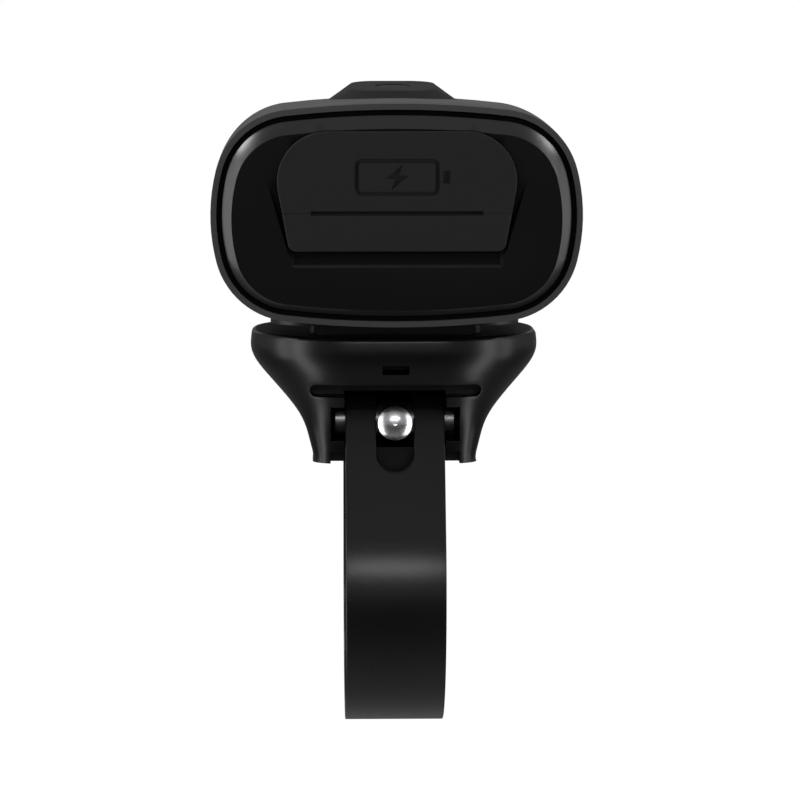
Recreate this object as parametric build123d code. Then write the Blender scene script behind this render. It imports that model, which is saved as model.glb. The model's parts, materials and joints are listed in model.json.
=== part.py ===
from build123d import *
from math import acos, atan2, cos, degrees, hypot, radians, sin, tan
import os

# A bicycle headlight on a handlebar clamp, in millimetres.
# The origin is the centre of the handlebar. +X runs along the bar to the right as seen from behind,
# +Y is the way the beam points, and +Z is up.
# The lamp slides on a rail on top of the clamp base. A steel band hangs from a cross barrel in the base,
# goes round the bar, and hooks under the washer of the clamp screw at the front.

# Handlebar, band and base: driving dimensions
BAR_DIAMETER = 31.8
LINER_THICKNESS = 0.8
BAND_THICKNESS = 1.4
BAND_WIDTH = 12.8
BAND_SLOT_WIDTH = 4.9
BAND_SLOT_DROP = 6.2
BAND_WRAP_ANGLE = 282.0
LINER_START_ANGLE = 12.0
LINER_INSET = 0.2
LINER_FRONT_RISE = 6.0
BARREL_DIAMETER = 4.4
BARREL_LENGTH = 15.7
BARREL_ABOVE_BAR = 6.2
BARREL_BACK = 5.6
RUNNING_CLEARANCE = 0.05
PAD_THICKNESS = 1.15
PAD_WIDTH = 12.4
PAD_REAR_ANGLE = 114.0
PAD_FRONT_ANGLE = 52.0
PAD_PEG_DIAMETER = 2.4
PAD_PEG_HEIGHT = 1.8
PAD_PEG_SPREAD = 7.6
PAD_PEG_FORWARD = 5.0

STEM_WIDTH = 21.2
STEM_REAR = 10.6
STEM_FRONT = 14.6
STEM_CORNER = 3.2
STEM_LIFT = 1.0
FLARE_HEIGHT = 14.3
FLANGE_WIDTH = 37.2
FLANGE_REAR = 16.0
FLANGE_FRONT = 16.0
FLANGE_CORNER = 14.0
FLANGE_HEIGHT = 2.4
FLANGE_EDGE_ROUND = 0.7
# Height share from the stem's foot to the flange, and share of the way from stem size to flange size
FLARE_SHARES = ((0.0, 0.0), (0.13, 0.02), (0.31, 0.11), (0.5, 0.3), (0.68, 0.58), (0.86, 0.87), (1.0, 0.997))
FLANGE_LEVEL_SHARES = (0.5, 1.0)

CHANNEL_CLEARANCE = 0.15
EYE_CLEARANCE = 0.35
JOURNAL_END_GAP = 0.45
SLOT_WIDTH = 22.0
SLOT_HEIGHT = 1.7
SLOT_DEPTH = 5.0
SLOT_ABOVE_BARREL = 4.45
NOTCH_HEIGHT = 1.5
NOTCH_WIDTH = 1.75
NOTCH_DEPTH = 3.0
SKIRT_REAR = 7.5
SKIRT_FRONT = 10.8
SKIRT_DROP = 4.2
SKIRT_CLEARANCE = 0.2

# Clamp screw, knob and washer
SCREW_DIAMETER = 3.0
SCREW_TIP_DIAMETER = 4.4
SCREW_TIP_DOME = 0.8
SCREW_TIP_LAND = 0.7
SCREW_HEAD_WIDTH = 5.5
SCREW_HEAD_HEIGHT = 3.0
SCREW_HOLE_CLEARANCE = 0.2
KNOB_TRAVEL = 2.0
KNOB_DIAMETER = 11.0
KNOB_LENGTH = 9.5
KNOB_GRIP_COUNT = 16
KNOB_GRIP_DEPTH = 0.45
KNOB_GRIP_WIDTH = 1.1
KNOB_EDGE_ROUND = 0.6
KNOB_HUB_DIAMETER = 7.0
KNOB_HUB_LENGTH = 1.0
KNOB_WALL = 1.6
WASHER_DIAMETER = 9.0
WASHER_THICKNESS = 1.0
FACE_GAP = 0.05

# Quick-release rail and latch
RAIL_NECK_WIDTH = 20.0
RAIL_FLANGE_WIDTH = 25.6
RAIL_FLANGE_THICKNESS = 1.35
RAIL_LIP = 1.25
RAIL_CLEARANCE = 0.15
RAIL_REAR = 10.9
RAIL_FRONT = 13.4
RAIL_LEAD = 0.5
FOOT_WIDTH = 32.0
FOOT_REAR = 12.6
FOOT_FRONT = 15.4
FOOT_CORNER = 5.5
FOOT_WRAP = 1.95
FOOT_LIP_ABOVE_BASE = 1.3
FOOT_NECK_EXTRA = 1.0
FOOT_SCREW_SPREAD = 16.0
FOOT_SCREW_PITCH = 12.0
FOOT_SCREW_MIDDLE = 1.0
FOOT_SCREW_DIAMETER = 2.5
FOOT_SCREW_HEAD = 4.5
FOOT_SCREW_HEAD_HEIGHT = 1.2
FOOT_SCREW_ENGAGE = 1.85
FOOT_SCREW_CLEARANCE = 0.1
BOSS_DIAMETER = 5.2
BOSS_HEIGHT = 2.0
DRIVE_WIDTH = 1.4
DRIVE_DEPTH = 0.6

LATCH_WIDTH = 8.0
LATCH_THICKNESS = 1.2
LATCH_PIVOT_REAR = 9.8
LATCH_BEAD_DIAMETER = 1.7
LATCH_TAIL = 1.8
LATCH_REACH = 18.7
LATCH_GRIP_WIDTH = 11.0
LATCH_GRIP_LENGTH = 2.4
LATCH_CATCH_WIDTH = 4.8
LATCH_CATCH_START = 7.8
LATCH_CATCH_LENGTH = 3.2
LATCH_CATCH_TOP_LENGTH = 0.8
LATCH_CATCH_ENGAGE = 0.9
LATCH_PRESS_ANGLE = 5.0
LATCH_CLEARANCE = 0.15
LATCH_ROOF = 0.55
LATCH_WINDOW_WIDTH = 3.4
LATCH_WINDOW_HEIGHT = 1.2
SPRING_STRIP = 0.25
SPRING_WIDTH = 3.0
SPRING_LENGTH = 6.5
SPRING_START = 1.0

# Lamp body
LIGHT_WIDTH = 46.8
LIGHT_HEIGHT = 28.1
LIGHT_ABOVE_BASE = 1.7
LIGHT_REAR = 20.0
LIGHT_LENGTH = 94.0
LIGHT_CROWN_RADIUS = 124.0
LIGHT_CORNER_RADIUS = 10.0
CORNER_LIMIT_SHARE = 0.85
# Share along the length, width share, height share, and rise of the middle as a share of the height
LIGHT_STATION_SHARES = (
    (0.0, 1.0, 1.0, 0.0),
    (0.213, 1.0, 1.013, 0.003),
    (0.60, 0.99, 0.964, -0.018),
    (1.0, 0.95, 0.875, -0.034),
)
SHELL_WALL = 1.8
RIM_FACE = 0.75
GROOVE_WIDTH = 0.7
GROOVE_DEPTH = 1.4
SEAL_HEIGHT = 0.5
SEAL_CLEARANCE = 0.03
BEZEL_LENGTH = 16.0
BEZEL_JOINT = 0.15

# Rear cap and rubber port cover
CAP_STAND = 1.0
CAP_BEVEL = 1.2
CAP_BEVEL_DROP = 0.45
CAP_EDGE_SET_BACK = 0.1
CAP_SPIGOT_LENGTH = 3.0
CAP_SPIGOT_CLEARANCE = 0.1
CAP_FACE_WALL = 1.9
CAP_SIDE_WALL = 1.6
COVER_BOTTOM_WIDTH = 27.0
COVER_TOP_WIDTH = 32.7
HINGE_RISE = 0.4
COVER_BOTTOM_BELOW = 4.8
COVER_TOP_MARGIN = 3.4
COVER_TOP_ROUND = 6.3
COVER_BOTTOM_ROUND = 1.1
COVER_THICKNESS = 1.3
COVER_STAND = 0.5
COVER_EDGE_ROUND = 0.2
COVER_CLEARANCE = 0.08
COVER_PEG_DIAMETER = 2.4
COVER_PEG_SPREAD = 15.0
COVER_PEG_ABOVE_HINGE = 4.6
HINGE_GROOVE_WIDTH = 21.6
HINGE_GROOVE_HEIGHT = 0.4
HINGE_GROOVE_DEPTH = 0.7
HINGE_SEAM = 0.04
HINGE_LIP_ROUND = 0.3
SCOOP_BOTTOM_WIDTH = 26.2
SCOOP_TOP_WIDTH = 32.4
SCOOP_DEPTH = 0.9
SCOOP_DRAFT = 45.0
SCOOP_BELOW_COVER = 2.1
SCOOP_ABOVE_HINGE = 3.8
MARK_WIDTH = 10.6
MARK_HEIGHT = 4.6
MARK_LINE = 0.5
MARK_DEPTH = 0.25
MARK_ABOVE_HINGE = 4.5
MARK_ROUND = 0.9
MARK_TERMINAL_WIDTH = 0.9
# Corner points of the bolt sign, as shares of the mark's height
BOLT_SHARES = ((0.16, 0.36), (-0.30, -0.04), (-0.04, -0.04), (-0.16, -0.36), (0.30, 0.04), (0.04, 0.04))

PORT_WIDTH = 8.94
PORT_HEIGHT = 3.26
PORT_LENGTH = 7.3
PORT_WALL = 0.35
PORT_BELOW_HINGE = 2.6
PORT_CLEARANCE = 0.35
PORT_TONGUE_WIDTH = 6.6
PORT_TONGUE_HEIGHT = 0.7
PLUG_WIDTH = 8.2
PLUG_HEIGHT = 2.2
PLUG_LENGTH = 0.7
PORT_BOARD_WIDTH = 16.0
PORT_BOARD_LENGTH = 8.0
BOARD_THICKNESS = 1.0

# Power button
BUTTON_FOOT_WIDTH = 16.4
BUTTON_FOOT_LENGTH = 18.4
BUTTON_FOOT_CORNER = 5.0
BUTTON_TOP_WIDTH = 10.9
BUTTON_TOP_LENGTH = 13.0
BUTTON_TOP_CORNER = 3.4
BUTTON_HEIGHT = 1.75
BUTTON_TILT = 4.3
BUTTON_FORWARD = 3.2
BUTTON_TRAVEL = 0.5
BUTTON_CLEARANCE = 0.15
BUTTON_FLANGE_EXTRA = 1.2
BUTTON_FLANGE_GAP = 0.45
BUTTON_FLANGE_THICKNESS = 0.4
BUTTON_EDGE_ROUND = 0.25
BUTTON_SINK = 0.35
WINDOW_DIAMETER = 4.6
WINDOW_THICKNESS = 0.5
WINDOW_RECESS = 0.12
GASKET_WIDTH = 1.7

# Battery, boards and optics inside
# The two cells fill the room that the lamp's width, height and length leave them: 18.6 by 65.2 here
CELL_GAP = 0.5
CELL_SIDE_ROOM = 2.5
CELL_FLOOR_ROOM = 0.35
CELL_REAR_ROOM = 10.0
CELL_FRONT_ROOM = 2.0
CELL_CLEARANCE = 0.05
LINK_THICKNESS = 0.3
LINK_HEIGHT = 6.0
LINK_OVERHANG = 3.45
CRADLE_RIB = 5.0
CRADLE_REAR_INSET = 6.5
CRADLE_FRONT_INSET = 8.7
CRADLE_RIB_COUNT = 3
CRADLE_FLOOR = 0.7
CRADLE_FLOOR_WIDTH = 12.0
CRADLE_HEIGHT = 6.5
CRADLE_FIT = 0.1
MAIN_BOARD_OVERHANG = 3.95
MAIN_BOARD_SET_IN = 11.0
MAIN_BOARD_LENGTH = 40.0
MAIN_BOARD_LIFT = 0.3
SWITCH_WIDTH = 6.0
SWITCH_HEIGHT = 0.5
SWITCH_REST_HEIGHT = 0.86
SWITCH_PLUNGER = 3.0
CHIP_WIDTH = 7.0
CHIP_HEIGHT = 1.0
COIL_DIAMETER = 6.0
COIL_HEIGHT = 1.2
CHIP_SET_IN = 25.5
COIL_SPREAD = 14.0
WIRE_DIAMETER = 1.2
LEAD_DROP = 1.4
LEAD_REACH = 6.0
HEAT_SINK_INSET = 0.8
HEAT_SINK_THICKNESS = 3.0
HEAT_SINK_FIT = 0.1
LED_BOARD_THICKNESS = 1.2
LED_BOARD_END = 7.0
LED_BOARD_HEIGHT = 14.0
LED_WIDTH = 3.5
LED_HEIGHT = 0.7
LED_DOME = 1.3
OPTICS_BELOW_CENTRE = 0.7
REFLECTOR_DEPTH = 8.6
REFLECTOR_WEB = 1.2
REFLECTOR_SIDE_WALL = 0.93
REFLECTOR_TOP_WALL = 0.95
REFLECTOR_NECK = 5.2
REFLECTOR_FIT = 0.2
BEZEL_WALL = 1.7
BEZEL_LIP = 1.5
BEZEL_EDGE_CHAMFER = 0.8
LENS_THICKNESS = 1.8
LENS_FIT = 0.08
LENS_SEAL_HEIGHT = 0.5
LENS_SEAL_WIDTH = 0.9

# One overrun serves all cuts that pass through a surface
OVERRUN = 2.0

# Worked-out places
bar_radius = BAR_DIAMETER / 2
band_inner = bar_radius + LINER_THICKNESS
band_outer = band_inner + BAND_THICKNESS
barrel_radius = BARREL_DIAMETER / 2
barrel_y = -BARREL_BACK
barrel_z = bar_radius + BARREL_ABOVE_BAR
eye_inner = barrel_radius + RUNNING_CLEARANCE
eye_outer = eye_inner + BAND_THICKNESS
# The band leaves the bar on the line that touches both the ring and the eye
barrel_reach = hypot(barrel_y, barrel_z)
tangent_angle = degrees(atan2(barrel_z, barrel_y) + acos((band_outer - eye_outer) / barrel_reach))

stem_foot = bar_radius + STEM_LIFT
flange_foot = stem_foot + FLARE_HEIGHT
base_top = flange_foot + FLANGE_HEIGHT
channel_half = BAND_WIDTH / 2 + CHANNEL_CLEARANCE
rail_lip_foot = base_top - RAIL_LIP
rail_floor = rail_lip_foot - RAIL_FLANGE_THICKNESS - 2 * RAIL_CLEARANCE
rail_flange_foot = rail_floor + RAIL_CLEARANCE
foot_bottom = base_top + RAIL_CLEARANCE
latch_top = rail_floor - LATCH_ROOF - LATCH_CLEARANCE
latch_z = latch_top - LATCH_THICKNESS / 2

washer_rear = band_outer + FACE_GAP
knob_rear = washer_rear + WASHER_THICKNESS + FACE_GAP
tip_shoulder = barrel_y - barrel_radius - KNOB_TRAVEL - FACE_GAP

light_middle = base_top + LIGHT_ABOVE_BASE + LIGHT_HEIGHT / 2
light_front = LIGHT_LENGTH - LIGHT_REAR
shell_end = light_front - BEZEL_LENGTH
rim_y = -LIGHT_REAR
groove_y = rim_y + GROOVE_DEPTH
cap_y = rim_y - CAP_STAND
cover_y = cap_y - COVER_STAND
cover_back = cover_y + COVER_THICKNESS
hinge_z = light_middle + HINGE_RISE
port_z = hinge_z - PORT_BELOW_HINGE
port_rear = cap_y + CAP_FACE_WALL + FACE_GAP
cover_bottom = hinge_z - COVER_BOTTOM_BELOW
cover_top = light_middle + LIGHT_HEIGHT / 2 - COVER_TOP_MARGIN

# The lamp's highest and lowest lines, the button under the roof and the screws in the floor
crown_width_share, crown_height_share, crown_rise_share = LIGHT_STATION_SHARES[1][1:]
crown_top = light_middle + LIGHT_HEIGHT * (crown_rise_share + crown_height_share / 2)
crown_bottom = light_middle + LIGHT_HEIGHT * (crown_rise_share - crown_height_share / 2)
foot_lip = base_top + FOOT_LIP_ABOVE_BASE
foot_top = crown_bottom + FOOT_WRAP
foot_screw_top = crown_bottom + FOOT_SCREW_ENGAGE
boss_top = crown_bottom + SHELL_WALL + BOSS_HEIGHT
button_foot_z = crown_top - BUTTON_SINK
# The roof falls away beside the middle line, by the crown's radius, as far as the flange's edge
flange_half = BUTTON_FOOT_WIDTH / 2 + BUTTON_FLANGE_EXTRA
roof_fall = flange_half * flange_half / (2 * LIGHT_CROWN_RADIUS)
flange_top = crown_top - SHELL_WALL - roof_fall - BUTTON_FLANGE_GAP
flange_bottom = flange_top - BUTTON_FLANGE_THICKNESS
switch_top = flange_bottom - BUTTON_TRAVEL - FACE_GAP

# The cells are as thick as both the lamp's width and its height allow
waist_width_share = LIGHT_STATION_SHARES[2][1]
waist_half = LIGHT_WIDTH * waist_width_share / 2
cell_by_width = waist_half - SHELL_WALL - CELL_SIDE_ROOM - CELL_GAP / 2
board_stack = SWITCH_REST_HEIGHT + BOARD_THICKNESS + MAIN_BOARD_LIFT
cell_by_height = switch_top - board_stack - CELL_FLOOR_ROOM - boss_top
cell_diameter = min(cell_by_width, cell_by_height)
cell_spacing = cell_diameter + CELL_GAP
cell_z = boss_top + CELL_FLOOR_ROOM + cell_diameter / 2
heat_sink_rear = shell_end - HEAT_SINK_INSET
cell_rear = rim_y + CELL_REAR_ROOM
cell_front = heat_sink_rear - CELL_FRONT_ROOM
board_z = cell_z + cell_diameter / 2 + MAIN_BOARD_LIFT
board_rear = rim_y + MAIN_BOARD_SET_IN
board_front = board_rear + MAIN_BOARD_LENGTH
chip_rear = board_rear + CHIP_SET_IN
rib_first = cell_rear + CRADLE_REAR_INSET
rib_last = cell_front - CRADLE_FRONT_INSET - CRADLE_RIB
rib_pitch = (rib_last - rib_first) / (CRADLE_RIB_COUNT - 1)

# The two bowls side by side fill the front's width, and its height holds their mouths
front_width_share, front_height_share = LIGHT_STATION_SHARES[-1][1:3]
optics_z = light_middle - OPTICS_BELOW_CENTRE
reflector_wall = BEZEL_WALL + REFLECTOR_FIT
bowl_reach = LIGHT_WIDTH * front_width_share / 2 - reflector_wall - REFLECTOR_SIDE_WALL
led_spread = bowl_reach + REFLECTOR_WEB / 2
mouth_by_height = LIGHT_HEIGHT * front_height_share - 2 * (reflector_wall + REFLECTOR_TOP_WALL)
reflector_mouth = min(led_spread - REFLECTOR_WEB, mouth_by_height)
led_board_rear = heat_sink_rear + HEAT_SINK_THICKNESS + FACE_GAP
reflector_rear = led_board_rear + LED_BOARD_THICKNESS + FACE_GAP
reflector_front = reflector_rear + REFLECTOR_DEPTH
lens_rear = reflector_front + LENS_SEAL_HEIGHT + FACE_GAP


def block(x0, x1, y0, y1, z0, z1):
    """A box between two corners."""
    size = (x1 - x0, y1 - y0, z1 - z0)
    return Pos((x0 + x1) / 2, (y0 + y1) / 2, (z0 + z1) / 2) * Box(*size)


def bar_x(radius, x0, x1, y, z):
    """A round bar along X."""
    return Pos((x0 + x1) / 2, y, z) * Rot(0, 90, 0) * Cylinder(radius, x1 - x0)


def bar_y(radius, y0, y1, x, z):
    """A round bar along Y."""
    return Pos(x, (y0 + y1) / 2, z) * Rot(90, 0, 0) * Cylinder(radius, y1 - y0)


def bar_z(radius, z0, z1, x, y):
    """A round bar along Z."""
    return Pos(x, y, (z0 + z1) / 2) * Cylinder(radius, z1 - z0)


def rear_view(x, y, z):
    """A plane facing back along -Y, with its own x to the right as seen from behind."""
    return Plane(origin=(x, y, z), x_dir=(1, 0, 0), z_dir=(0, -1, 0))


def side_plate(points, half_width):
    """A straight-sided plate across X, from points given as (y, z)."""
    face = make_face(Polyline(*points, close=True))
    return Pos(-half_width, 0, 0) * (Plane.YZ * extrude(face, amount=2 * half_width))


def polar(centre, radius, angle):
    """A point at an angle, in degrees, round a centre."""
    return (centre[0] + radius * cos(radians(angle)), centre[1] + radius * sin(radians(angle)))


def band_strip(inner, outer, ear_top, half_width):
    """The band's path round the bar and round the barrel, between two surfaces, as one strip."""
    bar = (0.0, 0.0)
    barrel = (barrel_y, barrel_z)
    hug_inner = eye_inner + (inner - band_inner)
    hug_outer = eye_outer + (outer - band_outer)
    sweep = 360 - tangent_angle
    end = tangent_angle - BAND_WRAP_ANGLE
    edges = [
        Line((outer, ear_top), (outer, 0)),
        CenterArc(bar, outer, 0, -sweep),
        Line(polar(bar, outer, tangent_angle), polar(barrel, hug_outer, tangent_angle)),
        CenterArc(barrel, hug_outer, tangent_angle, -BAND_WRAP_ANGLE),
        Line(polar(barrel, hug_outer, end), polar(barrel, hug_inner, end)),
        CenterArc(barrel, hug_inner, end, BAND_WRAP_ANGLE),
        Line(polar(barrel, hug_inner, tangent_angle), polar(bar, inner, tangent_angle)),
        CenterArc(bar, inner, tangent_angle, sweep),
        Line((inner, 0), (inner, ear_top)),
        Line((inner, ear_top), (outer, ear_top)),
    ]
    face = make_face(Wire(edges))
    return Pos(-half_width, 0, 0) * (Plane.YZ * extrude(face, amount=2 * half_width))


def make_strap_band():
    """The steel band: ear with a notch at the front, ring, straight rise and eye at the rear."""
    ear_top = barrel_z
    band = band_strip(band_inner, band_outer, ear_top, BAND_WIDTH / 2)
    notch_radius = BAND_SLOT_WIDTH / 2 - (SCREW_TIP_DIAMETER - SCREW_DIAMETER) / 2
    notch = bar_y(notch_radius, band_inner - OVERRUN, band_outer + OVERRUN, 0, barrel_z)
    notch += block(-notch_radius, notch_radius, band_inner - OVERRUN, band_outer + OVERRUN,
                   barrel_z, barrel_z + OVERRUN)
    band -= notch
    # The long slot clears the screw while the band swings: two straight walls and a round foot
    slot_radius = BAND_SLOT_WIDTH / 2
    slot_foot = barrel_z - BAND_SLOT_DROP + slot_radius
    reach = band_outer + OVERRUN
    slot = bar_y(slot_radius, -reach, barrel_y, 0, slot_foot)
    slot += block(-slot_radius, slot_radius, -reach, barrel_y, slot_foot, barrel_z + eye_outer + OVERRUN)
    slot += block(-slot_radius, slot_radius, barrel_y - barrel_radius, barrel_y + eye_outer + OVERRUN,
                  barrel_z - eye_outer - OVERRUN, barrel_z + eye_outer + OVERRUN)
    return band - slot


def make_strap_liner():
    """The rubber liner on the inside of the band."""
    start = tangent_angle + LINER_START_ANGLE
    sweep = 360 - start
    centre = (0.0, 0.0)
    edges = [
        Line((band_inner, LINER_FRONT_RISE), (band_inner, 0)),
        CenterArc(centre, band_inner, 0, -sweep),
        Line(polar(centre, band_inner, start), polar(centre, bar_radius, start)),
        CenterArc(centre, bar_radius, start, sweep),
        Line((bar_radius, 0), (bar_radius, LINER_FRONT_RISE)),
        Line((bar_radius, LINER_FRONT_RISE), (band_inner, LINER_FRONT_RISE)),
    ]
    face = make_face(Wire(edges))
    half_width = BAND_WIDTH / 2 - LINER_INSET
    return Pos(-half_width, 0, 0) * (Plane.YZ * extrude(face, amount=2 * half_width))


def make_barrel_nut():
    """The cross barrel, tapped for the clamp screw."""
    barrel = bar_x(barrel_radius, -BARREL_LENGTH / 2, BARREL_LENGTH / 2, barrel_y, barrel_z)
    ends = barrel.edges().filter_by(GeomType.CIRCLE)
    barrel = chamfer(ends, RUNNING_CLEARANCE * 4)
    hole_radius = SCREW_DIAMETER / 2 + RUNNING_CLEARANCE
    return barrel - bar_y(hole_radius, barrel_y - barrel_radius - OVERRUN,
                          barrel_y + barrel_radius + OVERRUN, 0, barrel_z)


def base_section(z, share):
    """One level outline of the base, between the stem's and the flange's."""
    width = STEM_WIDTH + share * (FLANGE_WIDTH - STEM_WIDTH)
    rear = STEM_REAR + share * (FLANGE_REAR - STEM_REAR)
    front = STEM_FRONT + share * (FLANGE_FRONT - STEM_FRONT)
    corner = STEM_CORNER + share * (FLANGE_CORNER - STEM_CORNER)
    return Pos(0, (front - rear) / 2, z) * RectangleRounded(width, front + rear, corner)


def make_base_blank():
    """The base's outer form: a goblet-shaped flare with a flange on top and a skirt below."""
    sections = [base_section(stem_foot + level * FLARE_HEIGHT, share) for level, share in FLARE_SHARES]
    # The flange goes on in the same smooth surface
    sections += [base_section(flange_foot + level * FLANGE_HEIGHT, 1) for level in FLANGE_LEVEL_SHARES]
    blank = loft(sections)
    top_edges = blank.edges().group_by(Axis.Z)[-1]
    blank = fillet(top_edges, FLANGE_EDGE_ROUND)
    skirt = block(-PAD_WIDTH / 2, PAD_WIDTH / 2, -SKIRT_REAR, SKIRT_FRONT, stem_foot - SKIRT_DROP,
                  stem_foot + STEM_LIFT)
    return blank + skirt


def rail_solid(neck_width, flange_width, z_values, rear, front):
    """The T shape of the rail: a narrow neck above a wide flange."""
    flange_bottom, flange_top, neck_top = z_values
    neck = block(-neck_width / 2, neck_width / 2, -rear, front, flange_top, neck_top)
    flange = block(-flange_width / 2, flange_width / 2, -rear, front, flange_bottom, flange_top)
    return neck + flange


def latch_tunnel():
    """The space for the latch tongue: a tunnel whose floor drops towards the front."""
    half = LATCH_WIDTH / 2 + LATCH_CLEARANCE
    low = latch_z - LATCH_THICKNESS / 2 - LATCH_CLEARANCE
    high = latch_top + LATCH_CLEARANCE
    rear = -(LATCH_PIVOT_REAR + LATCH_TAIL + LATCH_CLEARANCE)
    front = FLANGE_FRONT + OVERRUN
    drop = tan(radians(LATCH_PRESS_ANGLE)) * (front + LATCH_PIVOT_REAR)
    points = [(rear, low), (-LATCH_PIVOT_REAR, low), (front, low - drop), (front, high), (rear, high)]
    tunnel = side_plate(points, half)
    bead = LATCH_BEAD_DIAMETER / 2 + RUNNING_CLEARANCE
    tunnel += bar_x(bead, -half, half, -LATCH_PIVOT_REAR, latch_z)
    # The opening over the catch
    catch_half = LATCH_CATCH_WIDTH / 2 + LATCH_CLEARANCE
    catch_start = LATCH_CATCH_START - 2 * LATCH_CLEARANCE
    catch_end = LATCH_CATCH_START + LATCH_CATCH_LENGTH + LATCH_CLEARANCE
    tunnel += block(-catch_half, catch_half, catch_start, catch_end, latch_z, rail_floor + LATCH_CLEARANCE)
    return tunnel


def make_clamp_base():
    """The moulded base that carries the rail slot, the latch, the barrel and the bar saddle."""
    base = make_base_blank()
    behind = -(FLANGE_REAR + OVERRUN)
    # Channel for the band, with room for the eye
    eye_room = eye_outer + EYE_CLEARANCE
    channel_rear = -(SKIRT_REAR + SKIRT_CLEARANCE)
    channel = bar_x(eye_room, -channel_half, channel_half, barrel_y, barrel_z)
    channel += block(-channel_half, channel_half, behind, barrel_y, barrel_z, barrel_z + eye_room)
    channel += block(-channel_half, channel_half, behind, channel_rear, stem_foot - SKIRT_DROP,
                     barrel_z + eye_room)
    base -= channel
    # Level slot above the barrel
    slot_z = barrel_z + SLOT_ABOVE_BARREL
    slot_end = SLOT_WIDTH / 2 - SLOT_HEIGHT / 2
    slot_front = -STEM_REAR + SLOT_DEPTH / 2
    slot = block(-slot_end, slot_end, behind, slot_front, slot_z - SLOT_HEIGHT / 2, slot_z + SLOT_HEIGHT / 2)
    for side in (-1, 1):
        slot += bar_y(SLOT_HEIGHT / 2, behind, slot_front, side * slot_end, slot_z)
    base -= slot
    # Pockets that hold the ends of the barrel, open to the rear, and notches under them
    pocket_radius = barrel_radius + RUNNING_CLEARANCE
    pocket_end = BARREL_LENGTH / 2 + JOURNAL_END_GAP
    base -= bar_x(pocket_radius, -pocket_end, pocket_end, barrel_y, barrel_z)
    base -= block(-pocket_end, pocket_end, behind, barrel_y, barrel_z - pocket_radius,
                  barrel_z + pocket_radius)
    notch_end = channel_half + NOTCH_WIDTH
    base -= block(-notch_end, notch_end, behind, -STEM_REAR + NOTCH_DEPTH, stem_foot - OVERRUN,
                  stem_foot + NOTCH_HEIGHT)
    # Screw hole through the front wall
    base -= bar_y(SCREW_DIAMETER / 2 + SCREW_HOLE_CLEARANCE, barrel_y, FLANGE_FRONT + OVERRUN, 0, barrel_z)
    # Rail slot, open at the front
    levels = (rail_floor, rail_lip_foot, base_top + OVERRUN)
    rear = RAIL_REAR + RAIL_CLEARANCE
    base -= rail_solid(RAIL_NECK_WIDTH + 2 * RAIL_CLEARANCE, RAIL_FLANGE_WIDTH + 2 * RAIL_CLEARANCE,
                       levels, rear, FLANGE_FRONT + OVERRUN)
    base -= latch_tunnel()
    # Rear window through which the tail of the tongue is seen
    window_z = latch_z
    base -= block(-LATCH_WINDOW_WIDTH / 2, LATCH_WINDOW_WIDTH / 2, behind,
                  -(LATCH_PIVOT_REAR + LATCH_TAIL), window_z - LATCH_WINDOW_HEIGHT / 2,
                  window_z + LATCH_WINDOW_HEIGHT / 2)
    # Saddle for the pad, and blind holes for its pegs
    saddle = bar_radius + PAD_THICKNESS
    base -= bar_x(saddle, -FLANGE_WIDTH, FLANGE_WIDTH, 0, 0)
    for side in (-1, 1):
        base -= bar_z(PAD_PEG_DIAMETER / 2 + RUNNING_CLEARANCE, bar_radius,
                      saddle + PAD_PEG_HEIGHT + RUNNING_CLEARANCE, side * PAD_PEG_SPREAD / 2,
                      PAD_PEG_FORWARD)
    return base


def make_saddle_pad():
    """The rubber pad between base and bar, held by two pegs."""
    outer = bar_radius + PAD_THICKNESS
    sweep = PAD_REAR_ANGLE - PAD_FRONT_ANGLE
    centre = (0.0, 0.0)
    edges = [
        CenterArc(centre, outer, PAD_FRONT_ANGLE, sweep),
        Line(polar(centre, outer, PAD_REAR_ANGLE), polar(centre, bar_radius, PAD_REAR_ANGLE)),
        CenterArc(centre, bar_radius, PAD_REAR_ANGLE, -sweep),
        Line(polar(centre, bar_radius, PAD_FRONT_ANGLE), polar(centre, outer, PAD_FRONT_ANGLE)),
    ]
    face = make_face(Wire(edges))
    pad = Pos(-PAD_WIDTH / 2, 0, 0) * (Plane.YZ * extrude(face, amount=PAD_WIDTH))
    for side in (-1, 1):
        pad += bar_z(PAD_PEG_DIAMETER / 2, bar_radius, outer + PAD_PEG_HEIGHT, side * PAD_PEG_SPREAD / 2,
                     PAD_PEG_FORWARD)
    return pad


def make_latch_tongue():
    """The release tongue: bead hinge at the rear, catch in the middle, finger tab at the front."""
    half = LATCH_WIDTH / 2
    low = latch_z - LATCH_THICKNESS / 2
    pivot = -LATCH_PIVOT_REAR
    tongue = block(-half, half, pivot, LATCH_REACH, low, latch_top)
    tongue += bar_x(LATCH_BEAD_DIAMETER / 2, -half, half, pivot, latch_z)
    tail_half = LATCH_WINDOW_WIDTH / 2 - LATCH_CLEARANCE
    tail_drop = LATCH_WINDOW_HEIGHT / 2 - 2 * LATCH_CLEARANCE
    tongue += block(-tail_half, tail_half, pivot - LATCH_TAIL, pivot, latch_z - tail_drop,
                    latch_z + tail_drop)
    grip = block(-LATCH_GRIP_WIDTH / 2, LATCH_GRIP_WIDTH / 2, LATCH_REACH - LATCH_GRIP_LENGTH, LATCH_REACH,
                 low, latch_top)
    tongue += fillet(grip.edges().filter_by(Axis.Z), LATCH_GRIP_LENGTH / 3)
    catch_end = LATCH_CATCH_START + LATCH_CATCH_LENGTH
    catch_top = rail_flange_foot + LATCH_CATCH_ENGAGE
    catch = [(LATCH_CATCH_START, latch_z), (catch_end, latch_z), (catch_end, latch_top),
             (LATCH_CATCH_START + LATCH_CATCH_TOP_LENGTH, catch_top), (LATCH_CATCH_START, catch_top)]
    return tongue + side_plate(catch, LATCH_CATCH_WIDTH / 2)


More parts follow.
